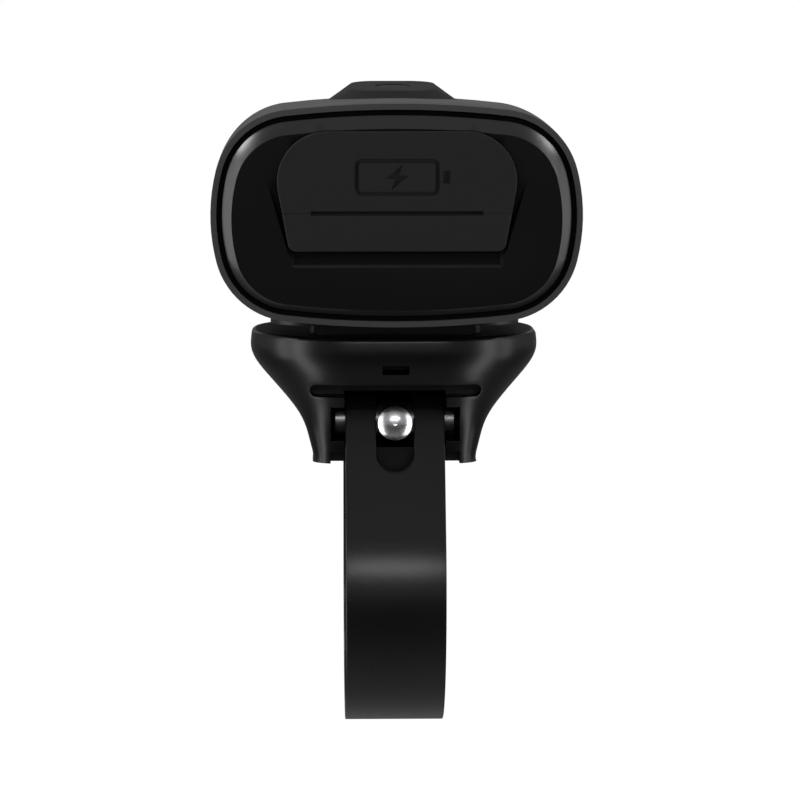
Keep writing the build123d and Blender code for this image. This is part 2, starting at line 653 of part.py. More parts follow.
def make_latch_spring():
    """The bent steel leaf that pushes the tongue up."""
    slope = tan(radians(LATCH_PRESS_ANGLE))
    floor_start = latch_z - LATCH_THICKNESS / 2 - LATCH_CLEARANCE
    end = SPRING_START + SPRING_LENGTH

    def floor(y):
        return floor_start - slope * (y + LATCH_PIVOT_REAR)

    tongue_foot = latch_z - LATCH_THICKNESS / 2
    points = [
        (SPRING_START, floor(SPRING_START)),
        (end, floor(end)),
        (end, floor(end) + SPRING_STRIP * 2),
        (SPRING_START + SPRING_STRIP, tongue_foot),
        (SPRING_START, tongue_foot),
        (SPRING_START, tongue_foot - SPRING_STRIP),
        (end - 3 * SPRING_STRIP, floor(end) + SPRING_STRIP),
        (SPRING_START, floor(SPRING_START) + SPRING_STRIP),
    ]
    return side_plate(points, SPRING_WIDTH / 2)


def make_clamp_screw():
    """The clamp screw: hexagon head inside the knob, shank, and a domed end that keeps it captive."""
    shank, tip = SCREW_DIAMETER / 2, SCREW_TIP_DIAMETER / 2
    # The dome is a cap of a ball whose radius follows from the tip's width and the dome's height
    ball = (tip * tip + SCREW_TIP_DOME * SCREW_TIP_DOME) / (2 * SCREW_TIP_DOME)
    dome_foot = tip_shoulder - SCREW_TIP_LAND
    apex = dome_foot - SCREW_TIP_DOME
    dome_angle = degrees(acos((ball - SCREW_TIP_DOME) / ball))
    end = knob_rear + KNOB_LENGTH - KNOB_WALL
    corners = [(tip, dome_foot), (tip, tip_shoulder), (shank, tip_shoulder), (shank, end), (0, end),
               (0, apex)]
    dome = CenterArc((0, apex + ball), ball, -90, dome_angle)
    profile = make_face(Wire([dome, *Polyline(*corners).edges()]))
    turned = Pos(0, 0, barrel_z) * revolve(profile, axis=Axis.Y)
    head_face = rear_view(0, knob_rear + KNOB_WALL + SCREW_HEAD_HEIGHT, barrel_z) * RegularPolygon(
        SCREW_HEAD_WIDTH / 2, 6, major_radius=False)
    return turned + extrude(head_face, amount=SCREW_HEAD_HEIGHT)


def make_clamp_knob():
    """The finger knob, moulded over the screw's head, with grip flutes round it."""
    knob = bar_y(KNOB_DIAMETER / 2, knob_rear + KNOB_HUB_LENGTH, knob_rear + KNOB_LENGTH, 0, barrel_z)
    knob = fillet(knob.edges().filter_by(GeomType.CIRCLE), KNOB_EDGE_ROUND)
    hub_end = knob_rear + KNOB_HUB_LENGTH + KNOB_EDGE_ROUND
    knob += bar_y(KNOB_HUB_DIAMETER / 2, knob_rear, hub_end, 0, barrel_z)
    flute_radius = KNOB_GRIP_WIDTH / 2
    ring = KNOB_DIAMETER / 2 + flute_radius - KNOB_GRIP_DEPTH
    for index in range(KNOB_GRIP_COUNT):
        x, z = polar((0.0, barrel_z), ring, 360 * index / KNOB_GRIP_COUNT)
        knob -= bar_y(flute_radius, knob_rear + KNOB_HUB_LENGTH, knob_rear + KNOB_LENGTH, x, z)
    return knob - make_clamp_screw()


def make_knob_washer():
    """The washer that bears on the band's ear."""
    rear, front = washer_rear, washer_rear + WASHER_THICKNESS
    washer = bar_y(WASHER_DIAMETER / 2, rear, front, 0, barrel_z)
    washer = chamfer(washer.edges().filter_by(GeomType.CIRCLE), WASHER_THICKNESS / 5)
    hole = SCREW_DIAMETER / 2 + RUNNING_CLEARANCE
    return washer - bar_y(hole, rear - OVERRUN, front + OVERRUN, 0, barrel_z)


def light_outline(offset, width_share, height_share, rise_share, y, drop=0.0):
    """The lamp's rounded outline at one place along its length, moved inwards by an offset."""
    half_width = LIGHT_WIDTH * width_share / 2 - offset
    half_height = LIGHT_HEIGHT * height_share / 2 - offset
    crown = LIGHT_CROWN_RADIUS - offset
    # On a flat lamp the corners take at most a share of the half height
    corner = min(max(LIGHT_CORNER_RADIUS - offset, LIGHT_CORNER_RADIUS / 3), half_height * CORNER_LIMIT_SHARE)
    middle = light_middle + LIGHT_HEIGHT * rise_share - drop
    lift = crown - half_height
    face = Circle(half_width) & (Pos(0, lift) * Circle(crown)) & (Pos(0, -lift) * Circle(crown))
    face = fillet(face.vertices(), corner)
    return rear_view(0, y, middle) * face


def light_solid(offset):
    """The whole outer form of the lamp, moved inwards by an offset."""
    return loft([light_outline(offset, width, height, rise, rim_y + along * LIGHT_LENGTH)
                 for along, width, height, rise in LIGHT_STATION_SHARES])


def slice_y(solid, y0, y1):
    """The part of a solid between two places along Y."""
    half = LIGHT_WIDTH
    return solid & block(-half, half, y0, y1, light_middle - half, light_middle + half)


def button_plan(extra):
    """The button's plan outline, grown by an amount all round."""
    corner = BUTTON_FOOT_CORNER + extra
    return RectangleRounded(BUTTON_FOOT_WIDTH + 2 * extra, BUTTON_FOOT_LENGTH + 2 * extra, corner)


def button_prism(extra, z0, z1):
    """A straight prism on the button's plan outline."""
    return Pos(0, BUTTON_FORWARD, z0) * extrude(button_plan(extra), amount=z1 - z0)


def foot_screw_places():
    """The four places of the rail's screws, as (x, y)."""
    return [(x * FOOT_SCREW_SPREAD / 2, FOOT_SCREW_MIDDLE + y * FOOT_SCREW_PITCH / 2)
            for x in (-1, 1) for y in (-1, 1)]


outer_form = light_solid(0.0)
inner_form = light_solid(SHELL_WALL)


def make_housing_shell():
    """The lamp's main shell, with rim rebate, button opening and bosses for the rail's screws."""
    shell = slice_y(outer_form, rim_y, shell_end)
    cavity = slice_y(inner_form, rim_y - OVERRUN, shell_end + OVERRUN)
    shell -= cavity
    rear_face = light_outline(RIM_FACE, 1, 1, 0, groove_y)
    shell -= extrude(rear_face, amount=GROOVE_DEPTH + OVERRUN)
    shell -= button_prism(BUTTON_CLEARANCE, crown_top - LIGHT_HEIGHT / 4, crown_top + OVERRUN)
    for x, y in foot_screw_places():
        shell += bar_z(BOSS_DIAMETER / 2, crown_bottom + SHELL_WALL / 2, boss_top, x, y)
    hole = FOOT_SCREW_DIAMETER / 2 + FOOT_SCREW_CLEARANCE
    for x, y in foot_screw_places():
        shell -= bar_z(hole, rail_flange_foot, foot_screw_top + FOOT_SCREW_CLEARANCE, x, y)
    return shell


def make_rear_seal():
    """The rubber ring at the bottom of the groove between shell and rear cap."""
    outside = light_outline(RIM_FACE + SEAL_CLEARANCE, 1, 1, 0, groove_y)
    inside = light_outline(RIM_FACE + GROOVE_WIDTH - SEAL_CLEARANCE, 1, 1, 0, groove_y)
    return extrude(outside, amount=SEAL_HEIGHT) - extrude(inside, amount=SEAL_HEIGHT)


def cover_plan(grow):
    """The port cover's outline: a trapezoid, wide at the top, with large top corners."""
    low, high = cover_bottom - hinge_z - grow, cover_top - hinge_z + grow
    low_half, high_half = COVER_BOTTOM_WIDTH / 2 + grow, COVER_TOP_WIDTH / 2 + grow
    outline = make_face(Polyline((-low_half, low), (low_half, low), (high_half, high), (-high_half, high),
                                 close=True))
    corners = outline.vertices().sort_by(Axis.Y)
    outline = fillet(corners[2:], COVER_TOP_ROUND + grow)
    corners = outline.vertices().sort_by(Axis.Y)
    return fillet(corners[:2], COVER_BOTTOM_ROUND + grow)


def port_opening(grow):
    """The well behind the flap, through the cap's face, with room below for the flap's plug to swing."""
    half = PORT_WIDTH / 2 + grow
    low = port_z - PORT_HEIGHT / 2 - grow
    high = port_z + PORT_HEIGHT / 2 + grow
    return block(-half, half, cap_y - OVERRUN, groove_y + CAP_SPIGOT_LENGTH, low, high)


def make_rear_cap():
    """The rear cap: bevelled face, finger scoop, seat for the rubber cover, and a spigot into the shell."""
    edge = RIM_FACE + GROOVE_WIDTH
    edge_y = rim_y + CAP_EDGE_SET_BACK
    flange_depth = groove_y - edge_y
    cap = extrude(light_outline(edge, 1, 1, 0, groove_y), amount=flange_depth)
    crest = light_outline(edge + CAP_BEVEL, 1, 1, 0, cap_y, drop=CAP_BEVEL_DROP)
    cap += loft([light_outline(edge, 1, 1, 0, edge_y), crest], ruled=True)
    spigot_offset = SHELL_WALL + CAP_SPIGOT_CLEARANCE
    spigot_y = groove_y + CAP_SPIGOT_LENGTH
    cap += extrude(light_outline(spigot_offset, 1, 1, 0, spigot_y), amount=CAP_SPIGOT_LENGTH)
    hollow_offset = spigot_offset + CAP_SIDE_WALL
    hollow_depth = spigot_y - (cap_y + CAP_FACE_WALL)
    cap -= extrude(light_outline(hollow_offset, 1, 1, 0, spigot_y), amount=hollow_depth)
    # Ledge under the port board
    ledge_top = port_z - PORT_HEIGHT / 2 - BOARD_THICKNESS - FACE_GAP
    ledge_half = PORT_BOARD_WIDTH / 2
    ledge = block(-ledge_half, ledge_half, cap_y + CAP_FACE_WALL / 2, spigot_y, ledge_top - CAP_SIDE_WALL,
                  ledge_top)
    cap += ledge
    # Finger scoop: its floor deepens towards the flap's lower edge, and its sides slope
    scoop_low = cover_bottom - SCOOP_BELOW_COVER
    scoop_high = hinge_z + SCOOP_ABOVE_HINGE
    low_half, high_half = SCOOP_BOTTOM_WIDTH / 2 - SCOOP_DEPTH, SCOOP_TOP_WIDTH / 2 - SCOOP_DEPTH
    plan = make_face(Polyline((-low_half, scoop_low), (low_half, scoop_low), (high_half, scoop_high),
                              (-high_half, scoop_high), close=True))
    slab = extrude(rear_view(0, cap_y + SCOOP_DEPTH, 0) * plan, amount=SCOOP_DEPTH + OVERRUN,
                   taper=-SCOOP_DRAFT)
    wedge = side_plate([(cap_y - OVERRUN, scoop_high + SCOOP_DEPTH), (cap_y, scoop_high),
                        (cap_y + SCOOP_DEPTH, cover_bottom), (cap_y, scoop_low),
                        (cap_y - OVERRUN, scoop_low - SCOOP_DEPTH)], high_half + 2 * SCOOP_DEPTH)
    cap -= slab & wedge
    seat = rear_view(0, cover_back, hinge_z) * cover_plan(COVER_CLEARANCE)
    cap -= extrude(seat, amount=COVER_THICKNESS + OVERRUN)
    cap -= port_opening(PORT_CLEARANCE)
    for side in (-1, 1):
        cap -= bar_y(COVER_PEG_DIAMETER / 2 + RUNNING_CLEARANCE, cap_y, groove_y + CAP_SPIGOT_LENGTH,
                     side * COVER_PEG_SPREAD / 2, hinge_z + COVER_PEG_ABOVE_HINGE)
    return cap


def cover_blank():
    """The whole rubber cover before it is parted at the hinge line."""
    face = rear_view(0, cover_back, hinge_z) * cover_plan(0.0)
    blank = extrude(face, amount=COVER_THICKNESS)
    rim = blank.edges().group_by(Axis.Y)[0]
    blank = fillet(rim, COVER_EDGE_ROUND)
    half = HINGE_GROOVE_WIDTH / 2
    groove = block(-half, half, cover_y - OVERRUN, cover_y + HINGE_GROOVE_DEPTH,
                   hinge_z - HINGE_GROOVE_HEIGHT / 2, hinge_z + HINGE_GROOVE_HEIGHT / 2)
    # The groove's lips are round about the line that the flap turns on
    groove += bar_x(HINGE_LIP_ROUND, -half, half, cover_y, hinge_z)
    return blank - groove


def charge_mark():
    """The sunk sign on the cover: a battery outline with a bolt in it."""
    height = MARK_HEIGHT
    body = RectangleRounded(MARK_WIDTH, height, MARK_ROUND)
    body -= RectangleRounded(MARK_WIDTH - 2 * MARK_LINE, height - 2 * MARK_LINE, MARK_ROUND - MARK_LINE)
    body += Pos(MARK_WIDTH / 2 + MARK_TERMINAL_WIDTH, 0) * Rectangle(MARK_TERMINAL_WIDTH, height / 3)
    bolt = make_face(Polyline(*[(x * height, y * height) for x, y in BOLT_SHARES], close=True))
    plane = rear_view(0, cover_y + MARK_DEPTH, hinge_z + MARK_ABOVE_HINGE)
    depth = MARK_DEPTH + OVERRUN
    return extrude(plane * body, amount=depth) + extrude(plane * bolt, amount=depth)


def make_port_cover():
    """The fixed upper part of the rubber cover, held by two pegs."""
    half = LIGHT_WIDTH / 2
    keep = block(-half, half, cover_y - OVERRUN, cover_back + OVERRUN, hinge_z + HINGE_SEAM / 2,
                 cover_top + OVERRUN)
    cover = cover_blank() & keep
    cover -= charge_mark()
    for side in (-1, 1):
        cover += bar_y(COVER_PEG_DIAMETER / 2, cover_back - COVER_THICKNESS / 2,
                       cap_y + CAP_FACE_WALL + COVER_EDGE_ROUND, side * COVER_PEG_SPREAD / 2,
                       hinge_z + COVER_PEG_ABOVE_HINGE)
    return cover


def make_port_flap():
    """The lower part of the rubber cover, which lifts off the charging port."""
    half = LIGHT_WIDTH / 2
    keep = block(-half, half, cover_y - OVERRUN, cover_back + OVERRUN, cover_bottom - OVERRUN,
                 hinge_z - HINGE_SEAM / 2)
    flap = cover_blank() & keep
    plug = block(-PLUG_WIDTH / 2, PLUG_WIDTH / 2, cover_back - COVER_THICKNESS / 2, cover_back + PLUG_LENGTH,
                 port_z - PLUG_HEIGHT / 2, port_z + PLUG_HEIGHT / 2)
    return flap + fillet(plug.edges().filter_by(Axis.Y), PLUG_HEIGHT / 3)


def port_tube(grow):
    """A prism with the charging port's round-ended section."""
    height = PORT_HEIGHT + 2 * grow
    face = rear_view(0, port_rear + PORT_LENGTH, port_z) * SlotOverall(PORT_WIDTH + 2 * grow, height)
    return extrude(face, amount=PORT_LENGTH)


def make_charge_port_shell():
    """The metal shell of the charging port, closed at the inner end."""
    shell = port_tube(0.0)
    inside = port_tube(-PORT_WALL)
    keep = block(-PORT_WIDTH, PORT_WIDTH, port_rear, port_rear + PORT_LENGTH - PORT_WALL,
                 port_z - PORT_HEIGHT, port_z + PORT_HEIGHT)
    return shell - (inside & keep)


def make_charge_port_tongue():
    """The contact tongue inside the charging port."""
    front = port_rear + PORT_LENGTH - PORT_WALL
    return block(-PORT_TONGUE_WIDTH / 2, PORT_TONGUE_WIDTH / 2, port_rear + PORT_LENGTH / 8, front,
                 port_z - PORT_TONGUE_HEIGHT / 2, port_z + PORT_TONGUE_HEIGHT / 2)


def make_port_board():
    """The small board that carries the charging port."""
    top = port_z - PORT_HEIGHT / 2
    half = PORT_BOARD_WIDTH / 2
    return block(-half, half, port_rear, port_rear + PORT_BOARD_LENGTH, top - BOARD_THICKNESS, top)


def cell_body(side, grow):
    """One round cell, grown by an amount all round."""
    radius = cell_diameter / 2 + grow
    return bar_y(radius, cell_rear - grow, cell_front + grow, side * cell_spacing / 2, cell_z)


def make_battery_cell(side):
    """One rechargeable cell with chamfered ends."""
    cell = cell_body(side, 0.0)
    return chamfer(cell.edges().filter_by(GeomType.CIRCLE), WIRE_DIAMETER / 2)


def make_cell_links():
    """The two nickel strips that join the cells at each end."""
    half = cell_spacing / 2 + LINK_OVERHANG
    z0, z1 = cell_z - LINK_HEIGHT / 2, cell_z + LINK_HEIGHT / 2
    rear = block(-half, half, cell_rear - LINK_THICKNESS, cell_rear, z0, z1)
    front = block(-half, half, cell_front, cell_front + LINK_THICKNESS, z0, z1)
    return Compound([rear.solid(), front.solid()])


def make_battery_cradle():
    """The plastic cradle under the cells: cross ribs on a floor strip."""
    inside = light_solid(SHELL_WALL + CRADLE_FIT)
    top = cell_z - cell_diameter / 2 + CRADLE_HEIGHT
    bottom = cell_z - cell_diameter
    half = LIGHT_WIDTH / 2
    cradle = None
    for index in range(CRADLE_RIB_COUNT):
        start = rib_first + index * rib_pitch
        rib = inside & block(-half, half, start, start + CRADLE_RIB, bottom, top)
        cradle = rib if cradle is None else cradle + rib
    strip_half = CRADLE_FLOOR_WIDTH / 2
    floor_z = boss_top + CRADLE_FIT
    cradle += block(-strip_half, strip_half, rib_first, rib_last + CRADLE_RIB, floor_z,
                    floor_z + CRADLE_FLOOR)
    for side in (-1, 1):
        cradle -= cell_body(side, CELL_CLEARANCE)
    for x, y in foot_screw_places():
        cradle -= bar_z(BOSS_DIAMETER / 2 + CRADLE_FIT, bottom, floor_z, x, y)
    return cradle


def wire_path(points, radius):
    """A wire with round bends, swept along straight runs joined by arcs."""
    path = FilletPolyline(*points, radius=radius)
    start = path @ 0
    section = Plane(origin=start, z_dir=path % 0) * Circle(WIRE_DIAMETER / 2)
    return sweep(section, path=path)


def make_battery_leads():
    """The two leads from the end strips, over the valley between the cells, to the board's underside."""
    half_wire = WIRE_DIAMETER / 2
    level = board_z - LEAD_DROP
    runs = ((cell_rear - LINK_THICKNESS - half_wire, board_rear + LEAD_REACH),
            (cell_front + LINK_THICKNESS + half_wire, board_front - LEAD_REACH))
    wires = []
    for y_link, y_board in runs:
        points = [(0, y_link, cell_z), (0, y_link, level), (0, y_board, level), (0, y_board, board_z)]
        wires.append(wire_path(points, WIRE_DIAMETER).solid())
    return Compound(wires)


def make_port_leads():
    """The two thin leads from the port board up to the main board."""
    wires = []
    y_low = port_rear + PORT_BOARD_LENGTH - WIRE_DIAMETER
    top = board_z + BOARD_THICKNESS + WIRE_DIAMETER / 2
    start = port_z - PORT_HEIGHT / 2
    for side in (-1, 1):
        x = side * (PORT_BOARD_WIDTH / 2 - WIRE_DIAMETER)
        points = [(x, y_low, start), (x, y_low, top), (x, board_rear + 2 * WIRE_DIAMETER, top)]
        wires.append(wire_path(points, WIRE_DIAMETER).solid())
    return Compound(wires)


def make_main_board():
    """The driver board above the cells."""
    half = cell_spacing / 2 + MAIN_BOARD_OVERHANG
    board = block(-half, half, board_rear, board_front, board_z, board_z + BOARD_THICKNESS)
    return fillet(board.edges().filter_by(Axis.Z), WIRE_DIAMETER)


def make_board_parts():
    """The driver chip and two coils on the main board."""
    top = board_z + BOARD_THICKNESS
    half = CHIP_WIDTH / 2
    chip = block(-half, half, chip_rear, chip_rear + CHIP_WIDTH, top, top + CHIP_HEIGHT)
    parts = [chip.solid()]
    for side in (-1, 1):
        coil = bar_z(COIL_DIAMETER / 2, top, top + COIL_HEIGHT, side * COIL_SPREAD / 2,
                     chip_rear + half)
        parts.append((coil - chip).solid())
    return Compound(parts)


def make_tact_switch():
    """The push switch under the button."""
    top = board_z + BOARD_THICKNESS
    half = SWITCH_WIDTH / 2
    body = block(-half, half, BUTTON_FORWARD - half, BUTTON_FORWARD + half, top, top + SWITCH_HEIGHT)
    return body + bar_z(SWITCH_PLUNGER / 2, top, switch_top, 0, BUTTON_FORWARD)


def make_button_cap():
    """The rubber power button: sloping sides, a tilted top with a round recess, and a flange inside."""
    foot = Pos(0, BUTTON_FORWARD, button_foot_z) * button_plan(0.0)
    top_plan = RectangleRounded(BUTTON_TOP_WIDTH, BUTTON_TOP_LENGTH, BUTTON_TOP_CORNER)
    top = Pos(0, BUTTON_FORWARD, button_foot_z + BUTTON_HEIGHT) * Rot(BUTTON_TILT, 0, 0) * top_plan
    crown = loft([foot, top], ruled=True)
    # Round the upper edges only
    upper = [edge for edge in crown.edges() if edge.center().Z > button_foot_z + BUTTON_HEIGHT / 2
             and abs(edge.tangent_at(0.5).Z) < sin(radians(BUTTON_TILT * 2))]
    crown = fillet(upper, BUTTON_EDGE_ROUND)
    cap = crown + button_prism(0.0, flange_top, button_foot_z)
    cap += button_prism(BUTTON_FLANGE_EXTRA, flange_bottom, flange_top)
    return cap - window_disc(WINDOW_THICKNESS + WINDOW_RECESS + OVERRUN, -WINDOW_THICKNESS, 0.0)


def window_disc(height, start, shrink):
    """A disc square to the button's tilted top, from a start height measured from the window's face."""
    place = Pos(0, BUTTON_FORWARD, button_foot_z + BUTTON_HEIGHT) * Rot(BUTTON_TILT, 0, 0)
    base = start - WINDOW_RECESS
    return place * Pos(0, 0, base + height / 2) * Cylinder(WINDOW_DIAMETER / 2 - shrink, height)


def make_button_window():
    """The smoked indicator window in the button's top."""
    return window_disc(WINDOW_THICKNESS, -WINDOW_THICKNESS, RUNNING_CLEARANCE / 2)


def make_button_gasket():
    """The gasket under the roof, round the button's opening."""
    ring = button_prism(BUTTON_CLEARANCE + GASKET_WIDTH, flange_top, crown_top)
    ring -= button_prism(BUTTON_CLEARANCE, flange_top - OVERRUN, crown_top + OVERRUN)
    return ring & inner_form


def make_heat_sink():
    """The aluminium plate behind the lamps' board, with two slots for the leads."""
    sink_front = heat_sink_rear + HEAT_SINK_THICKNESS
    plate = slice_y(light_solid(SHELL_WALL + HEAT_SINK_FIT), heat_sink_rear, sink_front)
    for side in (-1, 1):
        plate -= bar_y(WIRE_DIAMETER, heat_sink_rear - OVERRUN, led_board_rear + OVERRUN,
                       side * led_spread / 4, light_middle + LED_BOARD_HEIGHT / 3)
    return plate


def make_led_board():
    """The metal-backed board under the two light emitters."""
    half, high = led_spread / 2 + LED_BOARD_END, LED_BOARD_HEIGHT / 2
    front = led_board_rear + LED_BOARD_THICKNESS
    board = block(-half, half, led_board_rear, front, optics_z - high, optics_z + high)
    return fillet(board.edges().filter_by(Axis.Y), LED_HEIGHT * 2)


def make_led_emitters():
    """The two emitters, each a square package with a round dome."""
    rear = led_board_rear + LED_BOARD_THICKNESS
    half = LED_WIDTH / 2
    emitters = []
    for side in (-1, 1):
        x = side * led_spread / 2
        package = block(x - half, x + half, rear, rear + LED_HEIGHT, optics_z - half, optics_z + half)
        dome = Pos(x, rear + LED_HEIGHT, optics_z) * Sphere(LED_DOME)
        dome &= block(x - half, x + half, rear + LED_HEIGHT / 2, rear + LED_HEIGHT + LED_DOME,
                      optics_z - half, optics_z + half)
        emitters.append((package + dome).solid())
    return Compound(emitters)


def reflector_bowl(side):
    """One parabolic bowl, open at both ends."""
    neck, mouth = REFLECTOR_NECK / 2, reflector_mouth / 2
    # A parabola through the neck and the mouth, by its control points
    y0, y1 = reflector_rear, reflector_front
    slope = (mouth - neck) / (y1 - y0)
    start, end = (neck, y0), (mouth, y1)
    middle = ((neck + mouth) / 2 + slope, y0 + (y1 - y0) / 4)
    profile = Bezier(start, middle, end)
    rear, front = y0 - OVERRUN, y1 + OVERRUN
    straights = Polyline(end, (mouth, front), (0, front), (0, rear), (neck, rear), start)
    outline = make_face(Wire([profile, *straights.edges()]))
    bowl = revolve(outline, axis=Axis.Y)
    return Pos(side * led_spread / 2, 0, optics_z) * bowl


def make_reflector():
    """The twin reflector behind the lens."""
    body = slice_y(light_solid(reflector_wall), reflector_rear, reflector_front)
    for side in (-1, 1):
        body -= reflector_bowl(side)
    return body


def make_front_lens():
    """The clear front lens."""
    return slice_y(light_solid(BEZEL_WALL + LENS_FIT), lens_rear, lens_rear + LENS_THICKNESS)


def make_lens_seal():
    """The rubber ring between reflector and lens."""
    ring = slice_y(light_solid(BEZEL_WALL + LENS_FIT), reflector_front + FACE_GAP / 2,
                   reflector_front + FACE_GAP / 2 + LENS_SEAL_HEIGHT)
    return ring - light_solid(BEZEL_WALL + LENS_FIT + LENS_SEAL_WIDTH)


def make_front_bezel():
    """The bezel that holds lens and reflector."""
    bezel = slice_y(outer_form, shell_end + BEZEL_JOINT, light_front)
    front_edges = bezel.edges().group_by(Axis.Y)[-1]
    bezel = chamfer(front_edges, BEZEL_EDGE_CHAMFER)
    lens_front = lens_rear + LENS_THICKNESS + FACE_GAP
    bezel -= slice_y(light_solid(BEZEL_WALL), shell_end - OVERRUN, lens_front)
    bezel -= light_solid(BEZEL_WALL + BEZEL_LIP)
    return bezel


def make_rail_foot():
    """The foot screwed under the lamp, with the T rail that slides into the base."""
    half = FOOT_WIDTH / 2
    plate = block(-half, half, -FOOT_REAR, FOOT_FRONT, foot_lip, foot_top)
    plate = fillet(plate.edges().filter_by(Axis.Z), FOOT_CORNER)
    neck_half = RAIL_NECK_WIDTH / 2 + FOOT_NECK_EXTRA
    neck = block(-neck_half, neck_half, -RAIL_REAR, RAIL_FRONT, foot_bottom, foot_top)
    plate += fillet(neck.edges().filter_by(Axis.Z), FOOT_NECK_EXTRA)
    foot = plate - outer_form
    levels = (rail_flange_foot, rail_flange_foot + RAIL_FLANGE_THICKNESS, foot_bottom + RAIL_CLEARANCE)
    rail = rail_solid(RAIL_NECK_WIDTH, RAIL_FLANGE_WIDTH, levels, RAIL_REAR, RAIL_FRONT)
    foot += fillet(rail.edges().filter_by(Axis.Z), RAIL_LEAD)
    # Notch for the catch
    catch_half = LATCH_CATCH_WIDTH / 2 + 2 * LATCH_CLEARANCE
    foot -= block(-catch_half, catch_half, LATCH_CATCH_START - LATCH_CLEARANCE,
                  LATCH_CATCH_START + LATCH_CATCH_LENGTH + LATCH_CLEARANCE, rail_flange_foot - OVERRUN,
                  rail_flange_foot + LATCH_CATCH_ENGAGE + LATCH_CLEARANCE)
    for x, y in foot_screw_places():
        foot -= bar_z(FOOT_SCREW_DIAMETER / 2 + FOOT_SCREW_CLEARANCE, rail_flange_foot - OVERRUN,
                      foot_top, x, y)
        foot -= bar_z(FOOT_SCREW_HEAD / 2 + FOOT_SCREW_CLEARANCE, rail_flange_foot - OVERRUN,
                      rail_flange_foot + FOOT_SCREW_HEAD_HEIGHT, x, y)
    return foot


def make_foot_screws():
    """The four screws that hold the rail foot to the lamp."""
    screws = []
    for x, y in foot_screw_places():
        head = bar_z(FOOT_SCREW_HEAD / 2, rail_flange_foot, rail_flange_foot + FOOT_SCREW_HEAD_HEIGHT, x, y)
        shank = bar_z(FOOT_SCREW_DIAMETER / 2, rail_flange_foot, foot_screw_top, x, y)
        screw = head + shank
        long, narrow = FOOT_SCREW_HEAD * 2 / 3, DRIVE_WIDTH / 2
        for length, width in ((long, narrow), (narrow, long)):
            screw -= block(x - length / 2, x + length / 2, y - width / 2, y + width / 2,
                           rail_flange_foot - OVERRUN, rail_flange_foot + DRIVE_DEPTH)
        screws.append(screw.solid())
    return Compound(screws)


PIECES = {
    "clamp_base": make_clamp_base,
    "saddle_pad": make_saddle_pad,
    "latch_tongue": make_latch_tongue,
    "latch_spring": make_latch_spring,
    "barrel_nut": make_barrel_nut,
    "strap_band": make_strap_band,
    "strap_liner": make_strap_liner,
    "clamp_screw": make_clamp_screw,
    "clamp_knob": make_clamp_knob,
    "knob_washer": make_knob_washer,
    "rail_foot": make_rail_foot,
    "foot_screws": make_foot_screws,
    "housing_shell": make_housing_shell,
    "rear_seal": make_rear_seal,
    "rear_cap": make_rear_cap,
    "port_cover": make_port_cover,
    "port_flap": make_port_flap,
    "charge_port_shell": make_charge_port_shell,
    "charge_port_tongue": make_charge_port_tongue,
    "port_board": make_port_board,
    "port_leads": make_port_leads,
    "battery_cell_left": lambda: make_battery_cell(-1),
    "battery_cell_right": lambda: make_battery_cell(1),
    "cell_links": make_cell_links,
    "battery_cradle": make_battery_cradle,
    "battery_leads": make_battery_leads,
    "main_board": make_main_board,
    "board_parts": make_board_parts,
    "tact_switch": make_tact_switch,
    "button_cap": make_button_cap,
    "button_window": make_button_window,
    "button_gasket": make_button_gasket,
    "heat_sink": make_heat_sink,
    "led_board": make_led_board,
    "led_emitters": make_led_emitters,
    "reflector": make_reflector,
    "front_lens": make_front_lens,
    "lens_seal": make_lens_seal,
    "front_bezel": make_front_bezel,
}


def main():
    """Build every piece and write each to its own file."""
    os.makedirs("parts", exist_ok=True)
    for name, build in PIECES.items():
        export_step(build(), f"parts/{name}.step")


main()
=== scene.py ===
"""Bicycle headlight on a handlebar clamp, dressed and lit for rendering."""
from __future__ import annotations

import json
import logging
import math
from abc import ABC, abstractmethod
from dataclasses import dataclass, field
from typing import Iterable

import bpy
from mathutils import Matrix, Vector

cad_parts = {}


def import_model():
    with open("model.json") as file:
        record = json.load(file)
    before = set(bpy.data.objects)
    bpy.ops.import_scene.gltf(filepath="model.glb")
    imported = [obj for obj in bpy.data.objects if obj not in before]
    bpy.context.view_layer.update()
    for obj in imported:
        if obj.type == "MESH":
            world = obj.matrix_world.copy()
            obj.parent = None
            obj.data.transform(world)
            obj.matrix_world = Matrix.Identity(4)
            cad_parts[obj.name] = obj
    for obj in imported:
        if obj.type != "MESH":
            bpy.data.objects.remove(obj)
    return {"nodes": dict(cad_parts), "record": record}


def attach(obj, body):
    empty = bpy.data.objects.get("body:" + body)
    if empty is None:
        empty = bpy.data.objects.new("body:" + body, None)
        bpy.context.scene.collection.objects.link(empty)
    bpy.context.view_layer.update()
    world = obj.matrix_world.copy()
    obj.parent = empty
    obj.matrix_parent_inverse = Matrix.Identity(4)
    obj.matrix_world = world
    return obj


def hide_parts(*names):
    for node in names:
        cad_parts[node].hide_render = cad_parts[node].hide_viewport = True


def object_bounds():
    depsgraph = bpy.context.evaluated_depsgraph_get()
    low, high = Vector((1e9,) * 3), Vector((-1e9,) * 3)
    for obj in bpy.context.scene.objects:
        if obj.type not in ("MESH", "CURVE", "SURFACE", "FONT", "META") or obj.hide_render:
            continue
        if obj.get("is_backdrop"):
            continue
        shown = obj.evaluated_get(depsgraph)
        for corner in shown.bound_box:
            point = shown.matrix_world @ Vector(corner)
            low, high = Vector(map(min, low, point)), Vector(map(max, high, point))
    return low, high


LOG = logging.getLogger("headlight")
MM = 0.001
WHITE = (1.0, 1.0, 1.0, 1.0)
Colour = tuple[float, float, float]
Span = tuple[float, float]
# The middle range of a noise, which holds most of its values
MIDDLE: Span = (0.3, 0.7)


